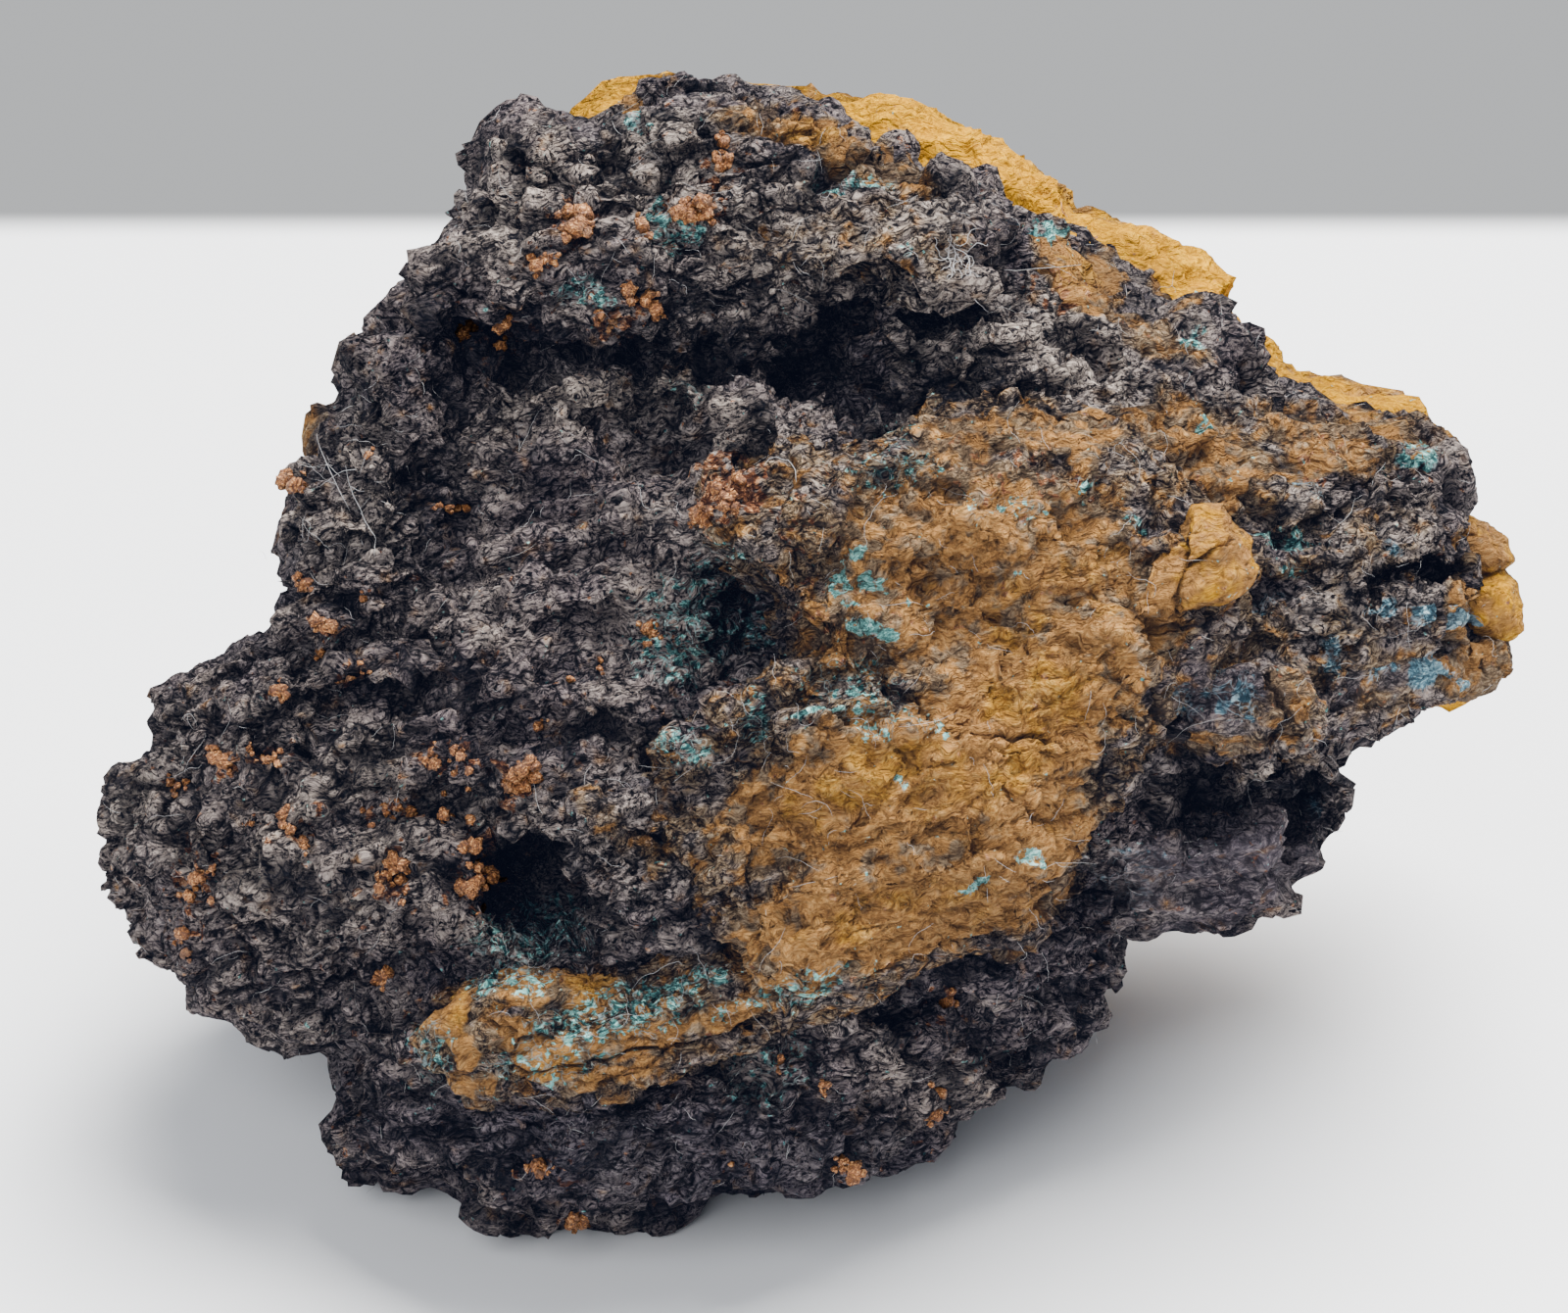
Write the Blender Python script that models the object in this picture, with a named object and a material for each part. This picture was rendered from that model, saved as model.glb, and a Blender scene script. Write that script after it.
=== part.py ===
"""A native copper nugget in its oxide and limonite matrix, as one solid of stone.

The nugget is built from lumps. Each lump is a pebble whose outline is drawn as the viewer sees it,
and which bulges towards and away from the viewer. The lumps are pushed in and out by pits, ledges and
noise, melted into one body, thinned to a few thousand faces and cut flat where the nugget rests.
Lengths are in millimetres until a mesh is made, and +Z is up.
"""

import itertools
import math

import bpy
import numpy as np

# Driving dimensions, in millimetres
NUGGET_WIDTH = 65.0
MM = 0.001

# The viewer, who looks along +Y and down at the nugget
VIEW_ELEVATION = math.radians(25.0)
VIEW_DISTANCE = 230.0
VIEW_CENTRE = (-1.9, -2.3, 20.9)

# Outlines are drawn in the pixels of a picture 1600 wide and 1340 high, seen by that viewer
PICTURE_MIDDLE = (800.0, 670.0)
WIDTH_IN_PIXELS = 1465.0
MM_PER_PIXEL = NUGGET_WIDTH / WIDTH_IN_PIXELS

VOXEL = 0.55
THINNED_TO = 0.092
FLOOR_BLOCK = 200.0

MASS_OUTLINE = (
    (506, 132), (530, 130), (570, 142), (610, 134), (655, 106), (700, 94), (770, 96), (826, 118),
    (900, 150), (990, 192), (1082, 246), (1184, 284), (1245, 315), (1290, 360), (1350, 402),
    (1440, 425), (1475, 450), (1490, 490), (1488, 525), (1492, 600), (1496, 640), (1494, 700),
    (1455, 730), (1430, 752), (1395, 770), (1374, 790), (1380, 815), (1346, 868), (1318, 920),
    (1224, 940), (1150, 958), (1120, 1004), (1122, 1036), (1078, 1078), (984, 1132), (956, 1166),
    (860, 1210), (760, 1224), (650, 1248), (590, 1258), (480, 1244), (436, 1214), (368, 1206),
    (332, 1160), (344, 1122), (338, 1074), (262, 1046), (212, 1024), (200, 984), (158, 984),
    (134, 944), (104, 886), (114, 832), (110, 780), (136, 745), (162, 690), (228, 664), (286, 636),
    (298, 604), (290, 545), (290, 492), (334, 476), (332, 440), (366, 392), (356, 374), (386, 350),
    (412, 284), (458, 270), (466, 240), (482, 228), (496, 172), (502, 150),
)
UPPER_LOBE_OUTLINE = (
    (508, 140), (566, 148), (612, 142), (646, 108), (664, 88), (698, 80), (736, 86), (792, 100),
    (828, 120), (903, 152), (990, 196),
    (1036, 246), (1030, 300), (985, 322), (900, 300), (830, 318), (770, 305), (740, 335), (690, 352),
    (650, 332), (560, 350), (485, 322), (434, 350), (412, 330), (412, 282), (464, 242), (494, 165),
)
BROW_OUTLINE = (
    (765, 215), (820, 195), (900, 190), (960, 205), (1005, 240), (1010, 290), (965, 312), (900, 290),
    (850, 312), (790, 305), (762, 265),
)
LEFT_LOBE_OUTLINE = (
    (114, 782), (142, 745), (172, 692), (245, 668), (330, 692), (430, 735), (490, 790), (512, 850),
    (500, 930), (515, 985), (440, 1000), (405, 1050), (338, 1068), (262, 1048), (212, 1026),
    (160, 984), (106, 887),
)
SHOULDER_OUTLINE = (
    (292, 495), (340, 474), (334, 438), (380, 348), (408, 288), (462, 320), (470, 400), (450, 500),
    (446, 620), (410, 690), (310, 696), (248, 668), (298, 622), (292, 550),
)
BLOCK_OUTLINE = (
    (720, 505), (790, 455), (880, 430), (960, 405), (1060, 395), (1140, 430), (1230, 500),
    (1290, 560), (1300, 640), (1240, 700), (1190, 770), (1115, 830), (1100, 880), (1080, 925),
    (1050, 965), (960, 990), (860, 1020), (800, 1050), (770, 1000), (720, 930), (672, 870),
    (655, 800), (665, 735), (760, 690), (800, 655), (790, 600), (730, 560),
)
TONGUE_OUTLINE = (
    (412, 1045), (445, 995), (520, 980), (625, 975), (740, 955), (900, 930), (1000, 955), (940, 998),
    (860, 1030), (790, 1070), (740, 1095), (660, 1122), (560, 1143), (480, 1125), (425, 1098),
)
RIGHT_END_OUTLINE = (
    (1180, 705), (1230, 660), (1300, 600), (1340, 520), (1420, 450), (1478, 470), (1490, 525),
    (1496, 590), (1502, 640), (1500, 696), (1450, 730), (1380, 764), (1300, 800), (1225, 775),
    (1170, 760),
)
FLAKE_OUTLINE = (
    (1180, 690), (1260, 670), (1330, 680), (1378, 735), (1350, 772), (1290, 770), (1240, 780), (1185, 760),
)
CHUNK_OUTLINE = (
    (525, 815), (575, 785), (640, 792), (680, 830), (735, 865), (765, 920), (720, 962), (650, 955),
    (598, 915), (575, 860), (540, 845),
)
BACK_CRUST_OUTLINE = (
    (570, 134), (602, 112), (650, 104), (700, 104), (760, 94), (820, 92), (908, 102), (968, 122), (1044, 160),
    (1102, 212), (1180, 234), (1230, 254), (1254, 282), (1266, 338), (1322, 384), (1444, 398),
    (1486, 430), (1494, 490), (1500, 540), (1528, 568), (1540, 594), (1542, 620), (1524, 655),
    (1508, 700), (1440, 726), (1320, 796), (1250, 870), (1120, 930), (960, 950), (760, 900),
    (600, 800), (480, 640), (430, 460), (470, 280), (510, 170),
)
OCHRE_KNOB_OUTLINE = (
    (1158, 622), (1166, 572), (1204, 548), (1216, 514), (1252, 508), (1276, 545), (1282, 592),
    (1250, 622), (1196, 636),
)
WEDGE_KNOB_OUTLINE = ((1478, 520), (1504, 526), (1542, 548), (1550, 574), (1524, 592), (1484, 584))
ROUND_KNOB_OUTLINE = (
    (1500, 588), (1530, 576), (1554, 592), (1562, 616), (1552, 642), (1526, 656), (1498, 648), (1488, 618),
)
LOW_KNOB_OUTLINE = ((1474, 664), (1500, 650), (1534, 656), (1544, 680), (1528, 706), (1496, 718), (1468, 710))

# name: outline, middle in pixels, front and back bulge, depth, lean along the picture's right and up, boxiness
LUMPS = {
    "mass": (MASS_OUTLINE, (800, 650), 17.0, 20.0, 0.0, (0.0, -0.20), 2.4),
    "upper_lobe": (UPPER_LOBE_OUTLINE, (720, 215), 6.0, 14.0, 5.8, (0.02, -0.42), 3.0),
    "brow": (BROW_OUTLINE, (885, 250), 3.4, 8.0, 9.6, (0.05, -0.30), 2.6),
    "left_lobe": (LEFT_LOBE_OUTLINE, (320, 865), 7.0, 12.0, 6.5, (0.34, 0.02), 2.8),
    "shoulder": (SHOULDER_OUTLINE, (370, 530), 5.0, 10.0, 7.6, (0.42, -0.20), 2.4),
    "block": (BLOCK_OUTLINE, (950, 720), 7.5, 12.0, 13.5, (-0.12, -0.22), 3.6),
    "tongue": (TONGUE_OUTLINE, (660, 1045), 6.5, 9.0, 13.4, (0.03, -0.10), 3.2),
    "right_end": (RIGHT_END_OUTLINE, (1370, 635), 6.0, 10.0, 6.5, (-0.28, -0.12), 3.2),
    "flake": (FLAKE_OUTLINE, (1280, 725), 2.6, 6.0, 13.2, (-0.20, -0.10), 3.4),
    "chunk": (CHUNK_OUTLINE, (640, 872), 4.0, 8.0, 16.8, (0.05, -0.10), 3.0),
    "back_crust": (BACK_CRUST_OUTLINE, (1010, 520), 6.0, 13.0, -8.5, (0.0, -0.20), 3.0),
    "ochre_knob": (OCHRE_KNOB_OUTLINE, (1222, 578), 2.2, 5.0, 15.7, (-0.30, -0.25), 2.8),
    "wedge_knob": (WEDGE_KNOB_OUTLINE, (1510, 556), 2.6, 6.0, 1.5, (-0.30, -0.20), 2.6),
    "round_knob": (ROUND_KNOB_OUTLINE, (1526, 616), 2.8, 7.0, 1.5, (-0.30, 0.0), 2.4),
    "low_knob": (LOW_KNOB_OUTLINE, (1506, 684), 2.6, 6.0, 2.5, (-0.30, 0.10), 2.6),
}
PITTED_LUMPS = ("mass", "right_end")
CLUSTER_SEARCH = 0.9

# The outline's small corners show at the rim and fade towards the middle of a lump's face
CORNERS_FADE_FROM = 0.35
CORNERS_FULL_AT = 0.85
GRID_STEPS = {"mass": 56, "back_crust": 36, "block": 32, "upper_lobe": 32}
SMALL_GRID_STEPS = 22

# Limonite is smoother than the oxide, so its lumps take only a share of the roughness
ROUGHNESS_SHARE = {
    "back_crust": 0.65, "ochre_knob": 0.40, "wedge_knob": 0.35, "round_knob": 0.35, "low_knob": 0.35,
    "flake": 0.60, "tongue": 0.65, "block": 0.80,
}

# Pits, grooves and swells on the viewer's side: middle and half widths in pixels, turn, height, edge
PITS = (
    (550, 892, 58, 66, 10, -10.5, 0.45),
    (690, 800, 34, 50, -25, -5.0, 0.50),
    (842, 372, 78, 52, 15, -8.0, 0.45),
    (960, 322, 62, 22, -8, -4.5, 0.50),
    (690, 372, 74, 34, 8, -5.0, 0.50),
    (560, 352, 110, 26, -2, -3.5, 0.60),
    (765, 610, 50, 70, 25, -5.0, 0.55),
    (1462, 592, 66, 24, 12, -5.0, 0.50),
    (1278, 818, 120, 42, -6, -5.5, 0.55),
    (680, 450, 82, 44, -20, -2.6, 0.70),
    (345, 718, 120, 24, 6, -3.4, 0.60),
    (462, 480, 20, 140, -4, -2.0, 0.90),
    (600, 560, 160, 150, 0, -1.8, 0.90),
    (250, 858, 42, 16, 0, -2.0, 0.60),
    (980, 1040, 220, 36, -24, -3.0, 0.80),
    (1130, 880, 70, 60, -30, -2.5, 0.80),
    (590, 700, 150, 40, -14, 1.5, 0.90),
    (760, 1170, 260, 70, -6, 2.2, 0.90),
    (1010, 340, 150, 60, -20, 1.2, 0.90),
)

# Bedding: the rock splits in thin layers, nearly level on the left and rising to the right
BEDDING_TURN = math.radians(10.0)
LAYER = 2.6
LAYER_STRETCH = 5.0
CLUMP = 5.5
CRUMB = 2.4
FAR_SWELL = 13.0
OUTLINE_ALLOWANCE = 0.45

# Clusters of copper grains that stand out: middle and half width in pixels
COPPER_CLUSTERS = (
    (395, 892, 20), (485, 885, 20), (520, 800, 18), (470, 780, 18), (585, 228, 18), (302, 494, 15),
    (735, 510, 22), (712, 220, 20), (275, 780, 16), (195, 905, 17), (645, 310, 18), (478, 346, 14),
    (545, 1195, 16), (590, 1246, 14), (465, 518, 14),
)


def noise_tables(seed):
    """A shuffled table of 256 numbers and 256 directions spread over the sphere."""
    random = np.random.default_rng(seed)
    steps = random.normal(size=(256, 3))
    return random.permutation(256), steps / np.linalg.norm(steps, axis=1, keepdims=True)


SHUFFLE, SLOPES = noise_tables(7)


def noise(points):
    """Gradient noise from -1 to 1: a random slope at each corner of a unit grid, blended between them."""
    cell = np.floor(points).astype(int)
    inside = points - cell
    fade = inside**3 * (inside * (inside * 6 - 15) + 10)
    total = np.zeros(len(points))
    for corner in itertools.product((0, 1), repeat=3):
        x, y, z = ((cell + corner) & 255).T
        slope = SLOPES[SHUFFLE[(SHUFFLE[(SHUFFLE[x] + y) & 255] + z) & 255]]
        weight = np.prod(np.where(corner, fade, 1 - fade), axis=1)
        total += weight * ((inside - corner) * slope).sum(axis=1)
    return total * 1.5


def layered_noise(points, octaves):
    """Noise added to finer and weaker copies of itself."""
    total = np.zeros(len(points))
    for octave in range(octaves):
        total += noise(points * 2.03**octave + 19.7 * octave) * 0.5**octave
    return total


def smooth_step(low, high, value):
    """0 below low, 1 above high and an S-curve between."""
    t = np.clip((value - low) / (high - low), 0, 1)
    return t * t * (3 - 2 * t)


def view_directions():
    """The picture's right and up and the way towards the viewer, as rows in the nugget's axes."""
    sin, cos = math.sin(VIEW_ELEVATION), math.cos(VIEW_ELEVATION)
    return np.array([(1, 0, 0), (0, sin, cos), (0, -cos, sin)], float)


def from_pixels(pixels):
    """Pixels of the picture as millimetres right and up of its middle."""
    return (np.array(pixels, float) - PICTURE_MIDDLE) * (MM_PER_PIXEL, -MM_PER_PIXEL)


def to_nugget(seen):
    """Points given as right, up and towards the viewer, in the nugget's own axes. Nearer points spread less."""
    shrunk = seen.copy()
    shrunk[:, :2] *= 1 - seen[:, 2:] / VIEW_DISTANCE
    return shrunk @ view_directions() + VIEW_CENTRE


def sphere_grid(steps):
    """(directions, faces) of a cube whose sides are grids blown up to a sphere, with shared edges made one."""
    side = np.tan(np.linspace(-1, 1, steps + 1) * math.pi / 4)
    a, b = (x.ravel() for x in np.meshgrid(side, side, indexing="ij"))
    one = np.ones_like(a)
    sheets = [(one, a, b), (-one, b, a), (b, one, a), (a, -one, b), (a, b, one), (b, a, -one)]
    points = np.concatenate([np.stack(sheet, axis=1) for sheet in sheets])
    points /= np.linalg.norm(points, axis=1, keepdims=True)
    corner = (np.arange(steps)[:, None] * (steps + 1) + np.arange(steps)).ravel()
    quad = np.stack([corner, corner + steps + 1, corner + steps + 2, corner + 1], axis=1)
    quads = np.concatenate([quad + sheet * (steps + 1) ** 2 for sheet in range(6)])
    _, first, merged = np.unique(np.round(points, 6), axis=0, return_index=True, return_inverse=True)
    return points[first], merged.reshape(-1)[quads]


def outline_reach(outline, middle, angle):
    """How far the outline is from the middle at each angle, and the same with its corners averaged away."""
    corners = from_pixels(outline) - from_pixels(middle)
    share = np.linspace(0, 1, 12, endpoint=False)[:, None, None]
    line = (corners * (1 - share) + np.roll(corners, -1, axis=0) * share).reshape(-1, 2)
    turn = np.arctan2(line[:, 1], line[:, 0])
    order = np.argsort(turn)
    even = np.linspace(-math.pi, math.pi, 361)[:-1]
    reach = np.interp(even, turn[order], np.hypot(*line.T)[order], period=2 * math.pi)
    window = np.hanning(61)
    smooth = np.convolve(np.concatenate([reach[-30:], reach, reach[:30]]), window / window.sum(), "valid")
    exact = np.interp(angle, turn[order], np.hypot(*line.T)[order], period=2 * math.pi)
    return exact, np.interp(angle, even, smooth, period=2 * math.pi)


def vertex_normals(points, quads):
    """Each point's normal: the crossed diagonals of the quads around it, added up."""
    across = np.cross(points[quads[:, 2]] - points[quads[:, 0]], points[quads[:, 3]] - points[quads[:, 1]])
    normals = np.stack(
        [np.bincount(quads.ravel(), np.repeat(across[:, k], 4), len(points)) for k in range(3)], axis=1
    )
    return normals / np.maximum(np.linalg.norm(normals, axis=1, keepdims=True), 1e-12)


def pit_depth(seen):
    """The height that the pits and swells add towards the viewer, with edges that wander."""
    wander = np.stack([noise(seen / 3.0), noise(seen / 3.0 + 40.0)], axis=1) * 1.1
    flat = seen[:, :2] + wander
    height = np.zeros(len(seen))
    for x, y, half_x, half_y, turn, rise, edge in PITS:
        away = flat - from_pixels((x, y))
        sin, cos = math.sin(math.radians(turn)), math.cos(math.radians(turn))
        along = (away[:, 0] * cos + away[:, 1] * sin) / (half_x * MM_PER_PIXEL)
        up = (away[:, 1] * cos - away[:, 0] * sin) / (half_y * MM_PER_PIXEL)
        height += rise * (1 - smooth_step(1 - edge, 1 + 0.4 * edge, np.hypot(along, up)))
    return height


def bedding(seen):
    """Points turned so that their second number runs across the layers."""
    sin, cos = math.sin(BEDDING_TURN), math.cos(BEDDING_TURN)
    turned = seen.copy()
    turned[:, 0] = seen[:, 0] * cos + seen[:, 1] * sin
    turned[:, 1] = seen[:, 1] * cos - seen[:, 0] * sin
    return turned


def roughness(seen):
    """How far the rock stands out of its smooth form: clumps, crumbs and the broken edges of layers."""
    clumps = 1.1 * layered_noise(seen / CLUMP, 2)
    crumbs = 0.9 * (0.28 - np.abs(noise(seen / CRUMB + 11.0)))
    layers = bedding(seen) / (LAYER * LAYER_STRETCH, LAYER, LAYER * LAYER_STRETCH)
    ledges = 1.7 * (0.28 - np.abs(noise(layers + 5.0)))
    far_side = 2.2 * noise(seen / FAR_SWELL + 3.0) * (1 - smooth_step(-10.0, 0.0, seen[:, 2]))
    return clumps + crumbs + ledges + far_side - OUTLINE_ALLOWANCE


def lump(name):
    """(points, quads) of one lump as seen: an outlined superellipsoid, leaning, pitted and roughened."""
    outline, middle, front, back, depth, lean, boxiness = LUMPS[name]
    directions, quads = sphere_grid(GRID_STEPS.get(name, SMALL_GRID_STEPS))
    right, up, out = directions.T
    rim = np.hypot(right, up)
    exact, smooth = outline_reach(outline, middle, np.arctan2(up, right))
    reach = smooth + (exact - smooth) * smooth_step(CORNERS_FADE_FROM, CORNERS_FULL_AT, rim)
    swell = (rim**boxiness + np.abs(out) ** boxiness) ** (-1 / boxiness)
    thickness = np.where(out > 0, front, back)
    seen = np.stack([right * reach, up * reach, out * thickness], axis=1) * swell[:, None]
    seen[:, 2] += depth + seen[:, :2] @ lean
    seen[:, :2] += from_pixels(middle)
    if name in PITTED_LUMPS:
        seen[:, 2] += pit_depth(seen) * smooth_step(0.05, 0.4, out)
    share = ROUGHNESS_SHARE.get(name, 1.0)
    seen += vertex_normals(seen, quads) * (roughness(seen) * share)[:, None]
    return seen, quads


def copper_cluster(x, y, half_width, rock):
    """(points, quads) of a small rough ball half sunk in the nearest rock that the viewer sees at that pixel."""
    directions, quads = sphere_grid(6)
    middle = from_pixels((x, y))
    radius = half_width * MM_PER_PIXEL
    near = np.hypot(*(rock[:, :2] - middle).T) < CLUSTER_SEARCH
    centre = np.append(middle, rock[near, 2].max() - 0.2 * radius)
    return directions * radius * (1 + 0.25 * noise(directions * 1.7 + centre))[:, None] + centre, quads


def mesh_of(name, points, faces):
    """A mesh object from points in millimetres."""
    mesh = bpy.data.meshes.new(name)
    mesh.from_pydata((points * MM).tolist(), [], faces.tolist())
    made = bpy.data.objects.new(name, mesh)
    bpy.context.scene.collection.objects.link(made)
    return made


def rock_material():
    """Dark cuprite and tenorite, the colour of most of the nugget."""
    material = bpy.data.materials.new("copper_ore")
    material.use_nodes = True
    shader = material.node_tree.nodes["Principled BSDF"]
    shader.inputs["Base Color"].default_value = (0.10, 0.075, 0.065, 1)
    shader.inputs["Roughness"].default_value = 0.85
    shader.inputs["Metallic"].default_value = 0.0
    return material


def nugget_object():
    """All the lumps and clusters in one mesh, melted into one body by a voxel remesh and thinned."""
    pieces = [lump(name) for name in LUMPS]
    rock = np.concatenate([points for points, _ in pieces])
    pieces += [copper_cluster(*cluster, rock) for cluster in COPPER_CLUSTERS]
    starts = np.cumsum([0] + [len(points) for points, _ in pieces])
    points = to_nugget(np.concatenate([points for points, _ in pieces]))
    faces = np.concatenate([quads + start for (_, quads), start in zip(pieces, starts)])
    nugget = mesh_of("copper_nugget", points, faces)
    nugget.data.materials.append(rock_material())
    melt = nugget.modifiers.new("melt", "REMESH")
    melt.mode = "VOXEL"
    melt.voxel_size = VOXEL * MM
    thin = nugget.modifiers.new("thin", "DECIMATE")
    thin.ratio = THINNED_TO
    return nugget


def cut_flat(nugget):
    """Cuts the nugget off level at the floor, where it rests."""
    half = FLOOR_BLOCK / 2
    corners = np.array(list(itertools.product((-half, half), (-half, half), (-FLOOR_BLOCK, 0.0))))
    sides = np.array([(0, 1, 3, 2), (4, 6, 7, 5), (0, 4, 5, 1), (2, 3, 7, 6), (0, 2, 6, 4), (1, 5, 7, 3)])
    block = mesh_of("floor_cutter", corners, sides)
    block.hide_render = True
    block.display_type = "WIRE"
    cut = nugget.modifiers.new("rest", "BOOLEAN")
    cut.operation = "DIFFERENCE"
    cut.object = block


def main():
    for old in list(bpy.data.objects):
        bpy.data.objects.remove(old)
    cut_flat(nugget_object())


main()
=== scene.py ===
# %% [markdown]
# # A native copper nugget
#
# The object is one lump of copper ore, 65 mm wide. Most of it is dark, crumbly copper oxide that splits in
# thin beds. An ochre crust of limonite covers its right side, grains of orange native copper stand out on
# its left, and green and blue copper minerals sit in its hollows.
#
# The CAD model gives the real size and the resting place. This script gives the look: the same lumps, made
# the same way but with far finer grids, so that crumbs, beds and cracks are real geometry.

import itertools
import math

import bpy
import numpy as np
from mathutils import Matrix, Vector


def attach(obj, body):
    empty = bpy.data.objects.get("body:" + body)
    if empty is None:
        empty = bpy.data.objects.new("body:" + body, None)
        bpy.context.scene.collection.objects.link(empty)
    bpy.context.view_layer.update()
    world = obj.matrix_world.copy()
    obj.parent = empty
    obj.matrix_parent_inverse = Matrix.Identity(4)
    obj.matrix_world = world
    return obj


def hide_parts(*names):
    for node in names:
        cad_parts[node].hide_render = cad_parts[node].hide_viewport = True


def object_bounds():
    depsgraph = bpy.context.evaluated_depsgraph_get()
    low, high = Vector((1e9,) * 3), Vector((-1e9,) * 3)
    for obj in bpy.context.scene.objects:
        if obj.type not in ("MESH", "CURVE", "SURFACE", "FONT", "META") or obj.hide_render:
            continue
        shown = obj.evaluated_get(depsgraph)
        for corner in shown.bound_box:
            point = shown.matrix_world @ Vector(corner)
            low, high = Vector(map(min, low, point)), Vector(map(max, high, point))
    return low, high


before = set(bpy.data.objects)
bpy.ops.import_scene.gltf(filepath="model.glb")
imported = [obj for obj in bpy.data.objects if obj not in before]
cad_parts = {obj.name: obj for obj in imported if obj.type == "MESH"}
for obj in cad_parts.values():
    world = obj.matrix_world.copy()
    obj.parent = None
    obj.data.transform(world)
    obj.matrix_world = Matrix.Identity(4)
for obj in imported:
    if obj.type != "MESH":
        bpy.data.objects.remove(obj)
cad_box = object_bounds()
NODE = "copper_nugget"
print("CAD box in metres:", np.round(cad_box, 4).tolist())

# %% [markdown]
# ## The viewer
#
# A natural lump has no drawings, so its outline is traced as the viewer sees it. That needs three lengths:
# how far away the viewer is, how steeply they look down, and how many millimetres one pixel spans at the
# nugget. The outlines are then numbers that can be read off a picture 1600 pixels wide and 1340 high. A
# point nearer the viewer looks bigger, so its distance from the line of sight is made smaller by the same
# share.

# %% Viewer and scale
MM = 0.001
VIEW_ELEVATION = math.radians(25.0)
VIEW_DISTANCE = 230.0
VIEW_CENTRE = (-1.9, -2.3, 20.9)
PICTURE_MIDDLE = (800.0, 670.0)
PICTURE_WIDTH = 1600.0
NUGGET_WIDTH = 65.0
WIDTH_IN_PIXELS = 1465.0
MM_PER_PIXEL = NUGGET_WIDTH / WIDTH_IN_PIXELS


def view_directions():
    """The picture's right and up and the way towards the viewer, as rows in the nugget's axes."""
    sin, cos = math.sin(VIEW_ELEVATION), math.cos(VIEW_ELEVATION)
    return np.array([(1, 0, 0), (0, sin, cos), (0, -cos, sin)], float)


def from_pixels(pixels):
    """Pixels of the picture as millimetres right and up of its middle."""
    return (np.array(pixels, float) - PICTURE_MIDDLE) * (MM_PER_PIXEL, -MM_PER_PIXEL)


def to_nugget(seen):
    """Points as right, up and towards the viewer, in the nugget's own axes. Nearer points spread less."""
    shrunk = seen.copy()
    shrunk[:, :2] *= 1 - seen[:, 2:] / VIEW_DISTANCE
    return shrunk @ view_directions() + VIEW_CENTRE


print("one pixel spans", round(MM_PER_PIXEL, 4), "mm")

# %% [markdown]
# ## Noise
#
# Broken rock has no two crumbs alike, yet it isn't just random: big lumps carry small lumps. Gradient noise
# gives a smooth random field, and cells give separate rounded crumbs with sharp crevices between them. Both
# are worked out here for all points at once. The tables are shuffled with a fixed seed, so that every run
# gives the same nugget.

# %% Gradient noise and cells
NOISE_SWING = 1.5
OCTAVE_SIZE = 2.03
OCTAVE_SHIFT = 19.7
FAR_AWAY = 99.0


def noise_tables(seed):
    """A shuffled table of 256 numbers, 256 directions over the sphere and 256 places in a unit cell."""
    random = np.random.default_rng(seed)
    steps = random.normal(size=(256, 3))
    shuffle = random.permutation(256)
    return shuffle, steps / np.linalg.norm(steps, axis=1, keepdims=True), random.random((256, 3))


SHUFFLE, SLOPES, PLACES = noise_tables(7)


def shuffled(cells):
    """One number from 0 to 255 for each cell, the same each time for the same cell."""
    x, y, z = (cells & 255).T
    return SHUFFLE[(SHUFFLE[(SHUFFLE[x] + y) & 255] + z) & 255]


def noise(points):
    """Gradient noise from -1 to 1: a random slope at each corner of a unit grid, blended between them."""
    cell = np.floor(points).astype(int)
    inside = points - cell
    fade = inside**3 * (inside * (inside * 6 - 15) + 10)
    total = np.zeros(len(points))
    for corner in itertools.product((0, 1), repeat=3):
        slope = SLOPES[shuffled(cell + corner)]
        weight = np.prod(np.where(corner, fade, 1 - fade), axis=1)
        total += weight * ((inside - corner) * slope).sum(axis=1)
    return total * NOISE_SWING


def layered_noise(points, octaves):
    """Noise added to finer and weaker copies of itself."""
    total = np.zeros(len(points))
    for octave in range(octaves):
        total += noise(points * OCTAVE_SIZE**octave + OCTAVE_SHIFT * octave) * 0.5**octave
    return total


def wander(points, size, first, second, reach):
    """A shift right and up from two noise fields, so that a drawn edge comes out uneven."""
    return np.stack([noise(points / size + first), noise(points / size + second)], axis=1) * reach


def cells(points):
    """Of points scattered one to a unit cell: the nearest's distance, the second's, its number and a tilt."""
    cell = np.floor(points).astype(int)
    nearest = np.full(len(points), FAR_AWAY)
    second = np.full(len(points), FAR_AWAY)
    own = np.zeros(len(points), int)
    offset = np.zeros_like(points)
    for corner in itertools.product((-1, 0, 1), repeat=3):
        spot = cell + corner
        mixed = shuffled(spot)
        apart = spot + PLACES[mixed] - points
        away = (apart**2).sum(axis=1)
        closer = away < nearest
        own[closer] = mixed[closer]
        offset[closer] = apart[closer]
        second = np.minimum(second, np.maximum(nearest, away))
        nearest = np.minimum(nearest, away)
    return np.sqrt(nearest), np.sqrt(second), own / 255, (offset * SLOPES[own]).sum(axis=1)


def smooth_step(low, high, value):
    """0 below low, 1 above high and an S-curve between."""
    t = np.clip((value - low) / (high - low), 0, 1)
    return t * t * (3 - 2 * t)


def on_near_side(seen):
    """1 on the viewer's side of the nugget and 0 on its far side."""
    return smooth_step(-12.0, -5.0, seen[:, 2])


sample = np.random.default_rng(1).random((4000, 3)) * 40
print("noise spreads over", np.round(np.percentile(noise(sample), (2, 50, 98)), 2).tolist())

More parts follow.
